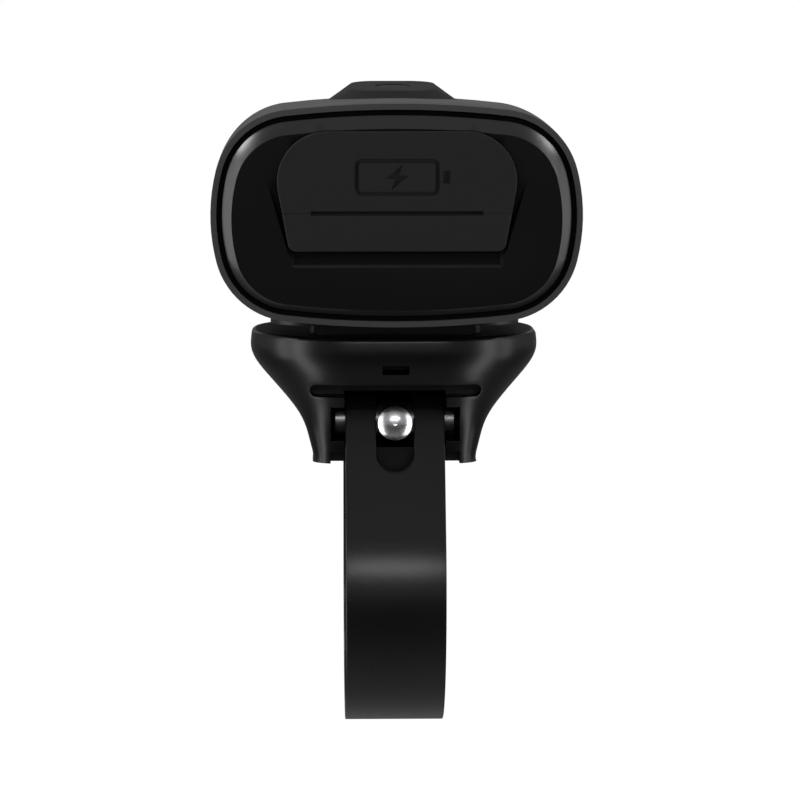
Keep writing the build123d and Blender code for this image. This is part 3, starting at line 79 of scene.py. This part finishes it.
class Shader:
    """A material's node tree, with short helpers for the patterns that the finishes share."""

    def __init__(self, name: str) -> None:
        """Starts a material with one Principled shader.

        Args:
            name: The material's name.
        """
        self.material = bpy.data.materials.new(name)
        self.material.use_nodes = True
        self.tree = self.material.node_tree
        self.surface = self.tree.nodes["Principled BSDF"]
        self.place = self.tree.nodes.new("ShaderNodeTexCoord").outputs["Object"]

    def set(self, **values: float | tuple) -> None:
        """Sets the shader's own sockets, named with underscores for spaces."""
        for name, value in values.items():
            self.surface.inputs[name.replace("_", " ")].default_value = value

    def link(self, source: bpy.types.NodeSocket, target: str) -> None:
        """Links an output to one of the shader's own sockets."""
        self.tree.links.new(source, self.surface.inputs[target])

    def stretched(self, scale: Colour) -> bpy.types.NodeSocket:
        """Gives object coordinates, stretched along the axes.

        Args:
            scale: The factor along X, Y and Z.

        Returns:
            The vector output.
        """
        mapping = self.tree.nodes.new("ShaderNodeMapping")
        mapping.inputs["Scale"].default_value = scale
        self.tree.links.new(self.place, mapping.inputs["Vector"])
        return mapping.outputs["Vector"]

    def noise(self, size: float, layers: float, vector: bpy.types.NodeSocket | None = None
              ) -> bpy.types.NodeSocket:
        """Gives a noise whose lumps have about the given size.

        Args:
            size: The size of a lump, in metres.
            layers: The number of finer layers.
            vector: The coordinates, or none for the object's own.

        Returns:
            The factor output.
        """
        noise = self.tree.nodes.new("ShaderNodeTexNoise")
        noise.inputs["Scale"].default_value = 1.0 / size
        noise.inputs["Detail"].default_value = layers
        self.tree.links.new(vector or self.place, noise.inputs["Vector"])
        return noise.outputs["Fac"]

    def spread(self, factor: bpy.types.NodeSocket, values: Span, bounds: Span = MIDDLE
               ) -> bpy.types.NodeSocket:
        """Maps a pattern's range to a range of values.

        Args:
            factor: The pattern.
            values: The values at the pattern's low and high bound.
            bounds: The pattern's low and high bound.

        Returns:
            The mapped output.
        """
        mapped = self.tree.nodes.new("ShaderNodeMapRange")
        for socket, value in zip(("From Min", "From Max", "To Min", "To Max"), (*bounds, *values)):
            mapped.inputs[socket].default_value = value
        self.tree.links.new(factor, mapped.inputs["Value"])
        return mapped.outputs["Result"]

    def tint(self, factor: bpy.types.NodeSocket, low: Colour, high: Colour) -> None:
        """Colours the surface between two tones by a pattern.

        Args:
            factor: The pattern.
            low: The tone where the pattern is 0.
            high: The tone where the pattern is 1.
        """
        mix = self.tree.nodes.new("ShaderNodeMix")
        mix.data_type = "RGBA"
        mix.inputs["A"].default_value = (*low, 1.0)
        mix.inputs["B"].default_value = (*high, 1.0)
        self.tree.links.new(factor, mix.inputs["Factor"])
        self.link(mix.outputs["Result"], "Base Color")

    def relief(self, *layers: tuple[bpy.types.NodeSocket, float]) -> None:
        """Adds bump layers.

        Args:
            layers: Pairs of a height pattern and its height in metres.
        """
        normal = None
        for height, distance in layers:
            bump = self.tree.nodes.new("ShaderNodeBump")
            bump.inputs["Distance"].default_value = distance
            bump.inputs["Strength"].default_value = 1.0
            self.tree.links.new(height, bump.inputs["Height"])
            if normal is not None:
                self.tree.links.new(normal, bump.inputs["Normal"])
            normal = bump.outputs["Normal"]
        self.link(normal, "Normal")


@dataclass(frozen=True)
class Finish(ABC):
    """A surface finish, made once as a material."""

    name: str
    colour: Colour

    @abstractmethod
    def dress(self, shader: Shader) -> None:
        """Adds the finish's own nodes.

        Args:
            shader: The material's shader.
        """

    def material(self) -> bpy.types.Material:
        """Makes the material, or finds it where it is made already.

        Returns:
            The material.
        """
        name = f"{self.name}_finish"
        found = bpy.data.materials.get(name)
        if found:
            return found
        shader = Shader(name)
        shader.set(Base_Color=(*self.colour, 1.0))
        self.dress(shader)
        return shader.material

    def shade(self, share: float) -> Colour:
        """Gives the finish's colour, made lighter or darker."""
        return tuple(channel * share for channel in self.colour)

    def tones(self, shares: Span) -> tuple[Colour, Colour]:
        """Gives the finish's colour at two shares of its brightness."""
        return self.shade(shares[0]), self.shade(shares[1])

    @staticmethod
    def about(value: float, shares: Span) -> Span:
        """Gives a value at two shares of itself."""
        return value * shares[0], value * shares[1]


@dataclass(frozen=True)
class Moulding(Finish):
    """Injection-moulded plastic with a fine spark-eroded grain."""

    roughness: float = 0.42
    gloss: float = 0.5
    grain: float = 0.22 * MM
    grain_layers: float = 3.0
    depth: float = 0.004 * MM
    wave: float = 14.0 * MM
    wave_layers: float = 1.0
    gloss_change: Span = (0.93, 1.07)
    mottle: Span = (0.85, 1.15)

    def dress(self, shader: Shader) -> None:
        """Adds grain, a slow change of gloss and a slight mottle.

        Args:
            shader: The material's shader.
        """
        grain = shader.noise(self.grain, self.grain_layers)
        flow = shader.noise(self.wave, self.wave_layers)
        shader.set(Specular_IOR_Level=self.gloss)
        shader.link(shader.spread(flow, self.about(self.roughness, self.gloss_change)), "Roughness")
        shader.tint(grain, *self.tones(self.mottle))
        shader.relief((grain, self.depth))


@dataclass(frozen=True)
class Rubber(Finish):
    """Soft matt rubber with a little dust on it."""

    roughness: float = 0.62
    gloss: float = 0.3
    tooth: float = 0.12 * MM
    tooth_layers: float = 2.0
    depth: float = 0.005 * MM
    dust: float = 3.5 * MM
    dust_layers: float = 4.0
    gloss_change: Span = (0.95, 1.05)
    mottle: Span = (0.93, 1.07)

    def dress(self, shader: Shader) -> None:
        """Adds a fine tooth and a dust mottle.

        Args:
            shader: The material's shader.
        """
        tooth = shader.noise(self.tooth, self.tooth_layers)
        dust = shader.noise(self.dust, self.dust_layers)
        shader.set(Specular_IOR_Level=self.gloss)
        shader.link(shader.spread(dust, self.about(self.roughness, self.gloss_change)), "Roughness")
        shader.tint(dust, *self.tones(self.mottle))
        shader.relief((tooth, self.depth))


@dataclass(frozen=True)
class PowderCoat(Finish):
    """Powder coat on steel, with a slight orange peel."""

    roughness: float = 0.45
    gloss: float = 0.5
    peel: float = 0.9 * MM
    peel_depth: float = 0.006 * MM
    speckle: float = 0.09 * MM
    speckle_depth: float = 0.0015 * MM
    layers: float = 1.0
    gloss_change: Span = (0.94, 1.06)
    mottle: Span = (0.9, 1.1)

    def dress(self, shader: Shader) -> None:
        """Adds the orange peel and a fine speckle.

        Args:
            shader: The material's shader.
        """
        peel = shader.noise(self.peel, self.layers)
        speckle = shader.noise(self.speckle, self.layers)
        shader.set(Specular_IOR_Level=self.gloss)
        shader.link(shader.spread(speckle, self.about(self.roughness, self.gloss_change)), "Roughness")
        shader.tint(speckle, *self.tones(self.mottle))
        shader.relief((peel, self.peel_depth), (speckle, self.speckle_depth))


@dataclass(frozen=True)
class Metal(Finish):
    """Bare metal with fine lines left by its making."""

    roughness: float = 0.2
    squeeze: Colour = (1.0, 1.0, 1.0)
    line: float = 0.15 * MM
    line_layers: float = 2.0
    depth: float = 0.001 * MM
    haze: float = 1.2 * MM
    haze_layers: float = 3.0
    gloss_change: Span = (0.85, 1.2)
    mottle: Span = (0.9, 1.06)

    def dress(self, shader: Shader) -> None:
        """Adds machining lines and a slight change of gloss.

        Args:
            shader: The material's shader.
        """
        lines = shader.noise(self.line, self.line_layers, shader.stretched(self.squeeze))
        haze = shader.noise(self.haze, self.haze_layers)
        shader.set(Metallic=1.0)
        shader.link(shader.spread(haze, self.about(self.roughness, self.gloss_change)), "Roughness")
        shader.tint(lines, *self.tones(self.mottle))
        shader.relief((lines, self.depth))


@dataclass(frozen=True)
class Clear(Finish):
    """Clear polycarbonate."""

    roughness: float = 0.03
    index: float = 1.58
    haze: float = 2.5 * MM
    haze_layers: float = 3.0
    haze_bounds: Span = (0.45, 0.7)
    gloss_change: Span = (1.0, 2.0)

    def dress(self, shader: Shader) -> None:
        """Lets light through and adds a faint haze of handling.

        Args:
            shader: The material's shader.
        """
        haze = shader.noise(self.haze, self.haze_layers)
        shader.set(Transmission_Weight=1.0, IOR=self.index)
        values = self.about(self.roughness, self.gloss_change)
        shader.link(shader.spread(haze, values, self.haze_bounds), "Roughness")


@dataclass(frozen=True)
class Board(Finish):
    """Circuit board with copper tracks under the solder mask."""

    roughness: float = 0.35
    track_pitch: float = 8.8 * MM
    track_share: float = 0.03
    track_height: float = 0.02 * MM
    mottle: Span = (1.0, 1.7)

    def dress(self, shader: Shader) -> None:
        """Adds the raised tracks.

        Args:
            shader: The material's shader.
        """
        brick = shader.tree.nodes.new("ShaderNodeTexBrick")
        brick.inputs["Scale"].default_value = 1.0 / self.track_pitch
        brick.inputs["Mortar Size"].default_value = self.track_share
        shader.tree.links.new(shader.place, brick.inputs["Vector"])
        shader.set(Roughness=self.roughness)
        shader.tint(brick.outputs["Fac"], *self.tones(self.mottle))
        shader.relief((brick.outputs["Fac"], self.track_height))


FINISHES: dict[str, Finish] = {finish.name: finish for finish in (
    Moulding("shell_plastic", (0.008, 0.008, 0.0084), roughness=0.56, gloss=0.13),
    Moulding("bezel_plastic", (0.008, 0.008, 0.0084), roughness=0.56, gloss=0.13),
    Moulding("cap_plastic", (0.0009, 0.0009, 0.001), roughness=0.36, gloss=0.025, grain=0.3 * MM),
    Rubber("cover_rubber", (0.0044, 0.0044, 0.0046), roughness=0.7, gloss=0.04),
    Rubber("seal_rubber", (0.001, 0.001, 0.001), roughness=0.9, gloss=0.02),
    Rubber("button_rubber", (0.0042, 0.0046, 0.0041), roughness=0.6, gloss=0.025),
    Moulding("smoked_window", (0.006, 0.006, 0.0062), roughness=0.7, gloss=0.05),
    Moulding("base_plastic", (0.0008, 0.0008, 0.0009), roughness=0.3, gloss=0.08),
    Moulding("foot_plastic", (0.003, 0.003, 0.0033), roughness=0.42, gloss=0.08),
    Moulding("latch_plastic", (0.008, 0.008, 0.0085), roughness=0.5, gloss=0.1),
    Moulding("knob_plastic", (0.006, 0.006, 0.0063), roughness=0.42, gloss=0.15),
    Rubber("pad_rubber", (0.006, 0.006, 0.006), roughness=0.8, gloss=0.06),
    PowderCoat("band_steel", (0.001, 0.001, 0.0011), roughness=0.28, gloss=0.115),
    # The screw's steel tone is darker than bare steel: painted shade standing in for the dark surroundings
    # that its dome mirrors
    Metal("screw_steel", (0.2, 0.2, 0.205), roughness=0.26),
    Metal("washer_steel", (0.5, 0.5, 0.51), roughness=0.3),
    # The barrel's steel tone is far darker than bare steel: painted shade of the recessed pockets that it
    # sits in
    Metal("barrel_steel", (0.06, 0.06, 0.062), roughness=0.36, squeeze=(6.0, 1.0, 1.0), depth=0.0003 * MM),
    Metal("spring_steel", (0.45, 0.45, 0.46), roughness=0.3),
    Metal("port_metal", (0.6, 0.6, 0.61), roughness=0.28),
    Board("board_resin", (0.012, 0.06, 0.022)),
    Moulding("chip_plastic", (0.012, 0.012, 0.012), roughness=0.5),
    Rubber("lead_insulation", (0.35, 0.02, 0.02), roughness=0.4, gloss=0.4),
    Moulding("cell_wrap", (0.04, 0.13, 0.27), roughness=0.25, grain=0.6 * MM),
    Metal("link_nickel", (0.6, 0.59, 0.56), roughness=0.3),
    Moulding("cradle_plastic", (0.6, 0.6, 0.58), roughness=0.5),
    Metal("sink_aluminium", (0.7, 0.7, 0.72), roughness=0.35, squeeze=(1.0, 8.0, 1.0)),
    Moulding("led_board_metal", (0.75, 0.75, 0.73), roughness=0.3),
    Moulding("led_phosphor", (0.85, 0.66, 0.1), roughness=0.25, grain=0.08 * MM),
    Metal("reflector_finish", (0.86, 0.86, 0.87), roughness=0.06, depth=0.0004 * MM),
    Clear("lens_clear", (0.93, 0.96, 0.97)),
)}


@dataclass(frozen=True)
class Softbox:
    """One rectangular studio light, placed by the direction that it comes from."""

    name: str
    azimuth: float
    elevation: float
    width: float
    height: float
    glow: float
    distance: float = 0.6

    def hang(self, target: Vector) -> None:
        """Adds the light, aimed at a point.

        Args:
            target: The point that it is aimed at.
        """
        turn, rise = math.radians(self.azimuth), math.radians(self.elevation)
        way = Vector((math.sin(turn) * math.cos(rise), -math.cos(turn) * math.cos(rise), math.sin(rise)))
        data = bpy.data.lights.new(self.name, "AREA")
        data.shape = "RECTANGLE"
        data.size, data.size_y = self.width, self.height
        # A lamp's power is its glow over its area, and the half space that it faces
        data.energy = self.glow * math.pi * self.width * self.height
        lamp = bpy.data.objects.new(self.name, data)
        lamp.location = target + way * self.distance
        lamp.rotation_euler = (-way).to_track_quat("-Z", "Y").to_euler()
        bpy.context.scene.collection.objects.link(lamp)


@dataclass
class Studio:
    """The plain studio: camera, lights, white surroundings and floor."""

    target: Vector = field(default_factory=lambda: Vector((0.0, 0.0, 0.03)))
    aim: Vector = field(default_factory=lambda: Vector((0.44, -18.0, 25.91)) * MM)
    camera_distance: float = 500.0 * MM
    yaw: float = 1.4
    pitch: float = 6.0
    focal_pixels: float = 3949.0
    picture_width: float = 800.0
    sensor: float = 36.0
    sight: Span = (0.01, 50.0)
    fill: float = 0.08
    # Where the dark flag in front of the lamp starts and is full, as cosines to the beam
    flag_edges: Span = (0.3, 0.85)
    flag_tone: float = 0.12
    floor_drop: float = 600.0 * MM
    floor_radius: float = 6.0
    floor_corners: int = 96
    floor_tone: float = 0.35
    floor_roughness: float = 0.9
    floor_glow: float = 0.95
    floor_mirrored: float = 0.1
    softboxes: tuple[Softbox, ...] = (
        Softbox("left_softbox", -67.0, -14.0, 0.16, 1.0, 16.0),
        Softbox("right_softbox", 65.0, -14.0, 0.16, 1.0, 15.0),
        Softbox("left_edge_softbox", -88.0, 0.0, 0.16, 0.5, 9.0),
        Softbox("right_edge_softbox", 88.0, 0.0, 0.16, 0.5, 6.0),
        Softbox("front_softbox", 0.0, 17.0, 0.38, 0.1, 20.0),
        Softbox("upper_left_softbox", -80.0, 42.0, 0.16, 0.16, 80.0),
        Softbox("upper_right_softbox", 80.0, 42.0, 0.16, 0.16, 50.0),
        Softbox("overhead_softbox", 0.0, 85.0, 0.5, 0.5, 0.6),
        Softbox("far_softbox", 180.0, 35.0, 0.5, 0.5, 0.5),
    )

    def add_camera(self) -> None:
        """Adds the camera at the photograph's angle."""
        data = bpy.data.cameras.new("camera")
        data.sensor_fit = "HORIZONTAL"
        data.sensor_width = self.sensor
        data.lens = self.focal_pixels * self.sensor / self.picture_width
        data.clip_start, data.clip_end = self.sight
        camera = bpy.data.objects.new("camera", data)
        yaw, pitch = math.radians(self.yaw), math.radians(self.pitch)
        look = Vector((math.sin(yaw) * math.cos(pitch), math.cos(yaw) * math.cos(pitch), -math.sin(pitch)))
        camera.location = self.aim - look * self.camera_distance
        camera.rotation_euler = look.to_track_quat("-Z", "Y").to_euler()
        bpy.context.scene.collection.objects.link(camera)
        bpy.context.scene.camera = camera

    @staticmethod
    def seen_rays(tree: bpy.types.NodeTree, mirrored: float | bpy.types.NodeSocket) -> bpy.types.NodeSocket:
        """Is 1 for camera rays, and a given value for glossy and transmission rays.

        Args:
            tree: The node tree to add to.
            mirrored: The value, or pattern, for rays that come by a mirror or through glass.

        Returns:
            The factor output.
        """
        path = tree.nodes.new("ShaderNodeLightPath")
        factor = path.outputs["Is Camera Ray"]
        for name in ("Is Glossy Ray", "Is Transmission Ray"):
            part = tree.nodes.new("ShaderNodeMath")
            part.operation = "MULTIPLY"
            if isinstance(mirrored, float):
                part.inputs[1].default_value = mirrored
            else:
                tree.links.new(mirrored, part.inputs[1])
            tree.links.new(path.outputs[name], part.inputs[0])
            both = tree.nodes.new("ShaderNodeMath")
            both.operation = "MAXIMUM"
            tree.links.new(factor, both.inputs[0])
            tree.links.new(part.outputs["Value"], both.inputs[1])
            factor = both.outputs["Value"]
        return factor

    def flag(self, tree: bpy.types.NodeTree) -> bpy.types.NodeSocket:
        """Dims what is mirrored from the side that the beam points to.

        Args:
            tree: The world's node tree.

        Returns:
            The tone output, by direction.
        """
        way = tree.nodes.new("ShaderNodeTexCoord").outputs["Generated"]
        parts = tree.nodes.new("ShaderNodeSeparateXYZ")
        tree.links.new(way, parts.inputs["Vector"])
        tone = tree.nodes.new("ShaderNodeMapRange")
        tone.interpolation_type = "SMOOTHSTEP"
        values = (*self.flag_edges, 1.0, self.flag_tone)
        for socket, value in zip(("From Min", "From Max", "To Min", "To Max"), values):
            tone.inputs[socket].default_value = value
        tree.links.new(parts.outputs["Y"], tone.inputs["Value"])
        return tone.outputs["Result"]

    def add_surroundings(self) -> None:
        """Makes the world white where it is seen, and dimmer as a light."""
        world = bpy.data.worlds.new("surroundings")
        bpy.context.scene.world = world
        world.use_nodes = True
        tree = world.node_tree
        fill = tree.nodes["Background"]
        fill.inputs["Strength"].default_value = self.fill
        fill.inputs["Color"].default_value = WHITE
        white = tree.nodes.new("ShaderNodeBackground")
        white.inputs["Color"].default_value = WHITE
        mix = tree.nodes.new("ShaderNodeMixShader")
        tree.links.new(self.seen_rays(tree, self.flag(tree)), mix.inputs["Fac"])
        tree.links.new(fill.outputs["Background"], mix.inputs[1])
        tree.links.new(white.outputs["Background"], mix.inputs[2])
        tree.links.new(mix.outputs["Shader"], tree.nodes["World Output"].inputs["Surface"])

    def add_floor(self, lowest: float) -> None:
        """Adds the pale floor below the object.

        Args:
            lowest: The object's lowest height.
        """
        bpy.ops.object.select_all(action="DESELECT")
        bpy.ops.mesh.primitive_circle_add(vertices=self.floor_corners, radius=self.floor_radius,
                                          fill_type="NGON", location=(0.0, 0.0, lowest - self.floor_drop))
        floor = bpy.context.object
        floor.name = "floor"
        material = bpy.data.materials.new("pale_floor")
        material.use_nodes = True
        tree = material.node_tree
        paint = tree.nodes["Principled BSDF"]
        paint.inputs["Base Color"].default_value = (*(self.floor_tone,) * 3, 1.0)
        paint.inputs["Roughness"].default_value = self.floor_roughness
        paint.inputs["Emission Color"].default_value = WHITE
        lift = tree.nodes.new("ShaderNodeMath")
        lift.operation = "MULTIPLY"
        lift.inputs[1].default_value = self.floor_glow
        tree.links.new(self.seen_rays(tree, self.floor_mirrored), lift.inputs[0])
        tree.links.new(lift.outputs["Value"], paint.inputs["Emission Strength"])
        floor.data.materials.append(material)
        floor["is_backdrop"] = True

    def build(self, lowest: float) -> None:
        """Builds the whole studio.

        Args:
            lowest: The object's lowest height.
        """
        bpy.context.scene.view_settings.view_transform = "Standard"
        self.add_camera()
        self.add_surroundings()
        self.add_floor(lowest)
        for softbox in self.softboxes:
            softbox.hang(self.target)


# Radius of the soft edges that each moulding and pressing has
SOFT_EDGES: dict[str, float] = {
    "housing_shell": 0.22 * MM, "port_cover": 0.12 * MM, "port_flap": 0.12 * MM, "button_cap": 0.15 * MM,
    "clamp_base": 0.18 * MM, "rail_foot": 0.2 * MM, "strap_band": 0.12 * MM, "front_bezel": 0.25 * MM,
    "clamp_knob": 0.15 * MM, "latch_tongue": 0.1 * MM,
}


class Tool:
    """Short helpers round Blender's own operators."""

    WELD_GAP = 0.002 * MM
    LIVE_ANGLE = math.radians(35.0)
    EDGE_ANGLE = math.radians(30.0)
    STEPS = 3
    FLAT_WEIGHT = 100

    @staticmethod
    def pick(piece: bpy.types.Object) -> None:
        """Selects one object alone and makes it active.

        Args:
            piece: The object.
        """
        bpy.ops.object.select_all(action="DESELECT")
        piece.select_set(True)
        bpy.context.view_layer.objects.active = piece

    @staticmethod
    def rounding(piece: bpy.types.Object, width: float, angle: float) -> bpy.types.Modifier:
        """Adds a modifier that rounds a piece's sharp edges.

        Args:
            piece: The object.
            width: The width of the rounding, in metres.
            angle: The least angle of a sharp edge, in radians.

        Returns:
            The modifier.
        """
        bevel = piece.modifiers.new("soft_edges", "BEVEL")
        bevel.width = width
        bevel.segments = Tool.STEPS
        bevel.limit_method = "ANGLE"
        bevel.angle_limit = angle
        bevel.use_clamp_overlap = True
        return bevel

    @staticmethod
    def soften(piece: bpy.types.Object, width: float) -> None:
        """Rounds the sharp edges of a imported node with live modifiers.

        Args:
            piece: The object.
            width: The width of the rounding, in metres.
        """
        weld = piece.modifiers.new("weld", "WELD")
        weld.merge_threshold = Tool.WELD_GAP
        Tool.rounding(piece, width, Tool.LIVE_ANGLE)

    @staticmethod
    def welded_copy(node: bpy.types.Object, name: str) -> bpy.types.Object:
        """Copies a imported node's mesh and joins its loose triangles.

        Args:
            node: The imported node.
            name: The copy's name.

        Returns:
            The new object.
        """
        piece = bpy.data.objects.new(name, node.data.copy())
        bpy.context.scene.collection.objects.link(piece)
        Tool.pick(piece)
        bpy.ops.object.mode_set(mode="EDIT")
        bpy.ops.mesh.select_all(action="SELECT")
        bpy.ops.mesh.remove_doubles(threshold=Tool.WELD_GAP)
        bpy.ops.object.mode_set(mode="OBJECT")
        return piece

    @staticmethod
    def round_edges(piece: bpy.types.Object, width: float) -> None:
        """Rounds a new piece's sharp edges for good.

        Args:
            piece: The object.
            width: The width of the rounding, in metres.
        """
        Tool.pick(piece)
        bevel = Tool.rounding(piece, width, Tool.EDGE_ANGLE)
        bpy.ops.object.modifier_apply(modifier=bevel.name)

    @staticmethod
    def smooth(piece: bpy.types.Object) -> None:
        """Shades a piece smooth up to an angle, with flat faces kept flat.

        Args:
            piece: The object.
        """
        Tool.pick(piece)
        bpy.ops.object.shade_smooth_by_angle(angle=Tool.LIVE_ANGLE)
        weighted = piece.modifiers.new("flat_faces", "WEIGHTED_NORMAL")
        weighted.keep_sharp = True
        weighted.weight = Tool.FLAT_WEIGHT
        bpy.ops.object.modifier_apply(modifier=weighted.name)


@dataclass
class RearCap:
    """The rear cap's visible moulding: a grained panel inside a smoother, glossier bevel, whose lighter
    tone is painted light.
    """

    nodes: dict[str, bpy.types.Object]
    panel_finish: Finish = FINISHES["cap_plastic"]
    # The bevel's smoothness and gloss are the moulding's own; its lighter tone than the panel is painted
    # light
    bevel_finish_and_painted_light: Finish = Moulding("cap_bevel_and_painted_light", (0.003, 0.003, 0.0032), roughness=0.3, gloss=0.14,
                                    grain=0.3 * MM, depth=0.001 * MM)
    edge_width: float = 0.16 * MM
    middle_height: float = 49.35
    # Half width and half height of the flat panel, and the slopes that the bevel's faces have
    panel_reach: Span = (17.5, 8.8)
    bevel_slope: Span = (0.3, 0.93)

    def build(self) -> bpy.types.Object:
        """Copies the cap, rounds its edges and gives the bevel a smoother, glossier finish with a lighter
        tone, which is painted light.

        Returns:
            The new piece.
        """
        piece = Tool.welded_copy(self.nodes["rear_cap"], "rear_cap_moulding")
        Tool.round_edges(piece, self.edge_width)
        piece.data.materials.clear()
        piece.data.materials.append(self.panel_finish.material())
        piece.data.materials.append(self.bevel_finish_and_painted_light.material())
        # Faces on the sloped ring get the bevel finish, with its painted lighter tone
        for face in piece.data.polygons:
            slopes = self.bevel_slope[0] < -face.normal.y < self.bevel_slope[1]
            face.material_index = int(slopes and self.on_bevel(face))
        Tool.smooth(piece)
        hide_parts("rear_cap")
        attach(piece, "light")
        LOG.info("%s wears two finishes", piece.name)
        return piece

    def on_bevel(self, face: bpy.types.MeshPolygon) -> bool:
        """Says whether a face lies on the ring round the panel, and not in the scoop."""
        across, up = abs(face.center.x) / MM, face.center.z / MM - self.middle_height
        return across > self.panel_reach[0] or abs(up) > self.panel_reach[1]


@dataclass
class Wardrobe:
    """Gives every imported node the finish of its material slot."""

    nodes: dict[str, bpy.types.Object]
    subparts: Iterable[dict[str, str]]

    def dress(self) -> None:
        """Dresses each node and smooths it across its soft edges."""
        for subpart in self.subparts:
            node, slot = subpart["node"], subpart["material_slot"]
            piece = self.nodes[node]
            material = FINISHES[slot].material()
            if not piece.material_slots:
                piece.data.materials.append(material)
            for index in range(len(piece.material_slots)):
                piece.material_slots[index].material = material
            if node in SOFT_EDGES:
                Tool.soften(piece, SOFT_EDGES[node])
            LOG.info("%s wears %s", node, slot)


def main() -> None:
    """Loads the frame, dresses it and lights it."""
    logging.basicConfig(level=logging.INFO, format="%(name)s: %(message)s")
    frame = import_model()
    packed_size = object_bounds()
    Wardrobe(frame["nodes"], frame["record"]["subparts"]).dress()
    RearCap(frame["nodes"]).build()
    Studio().build(packed_size[0][2])


if __name__ == "__main__":
    main()
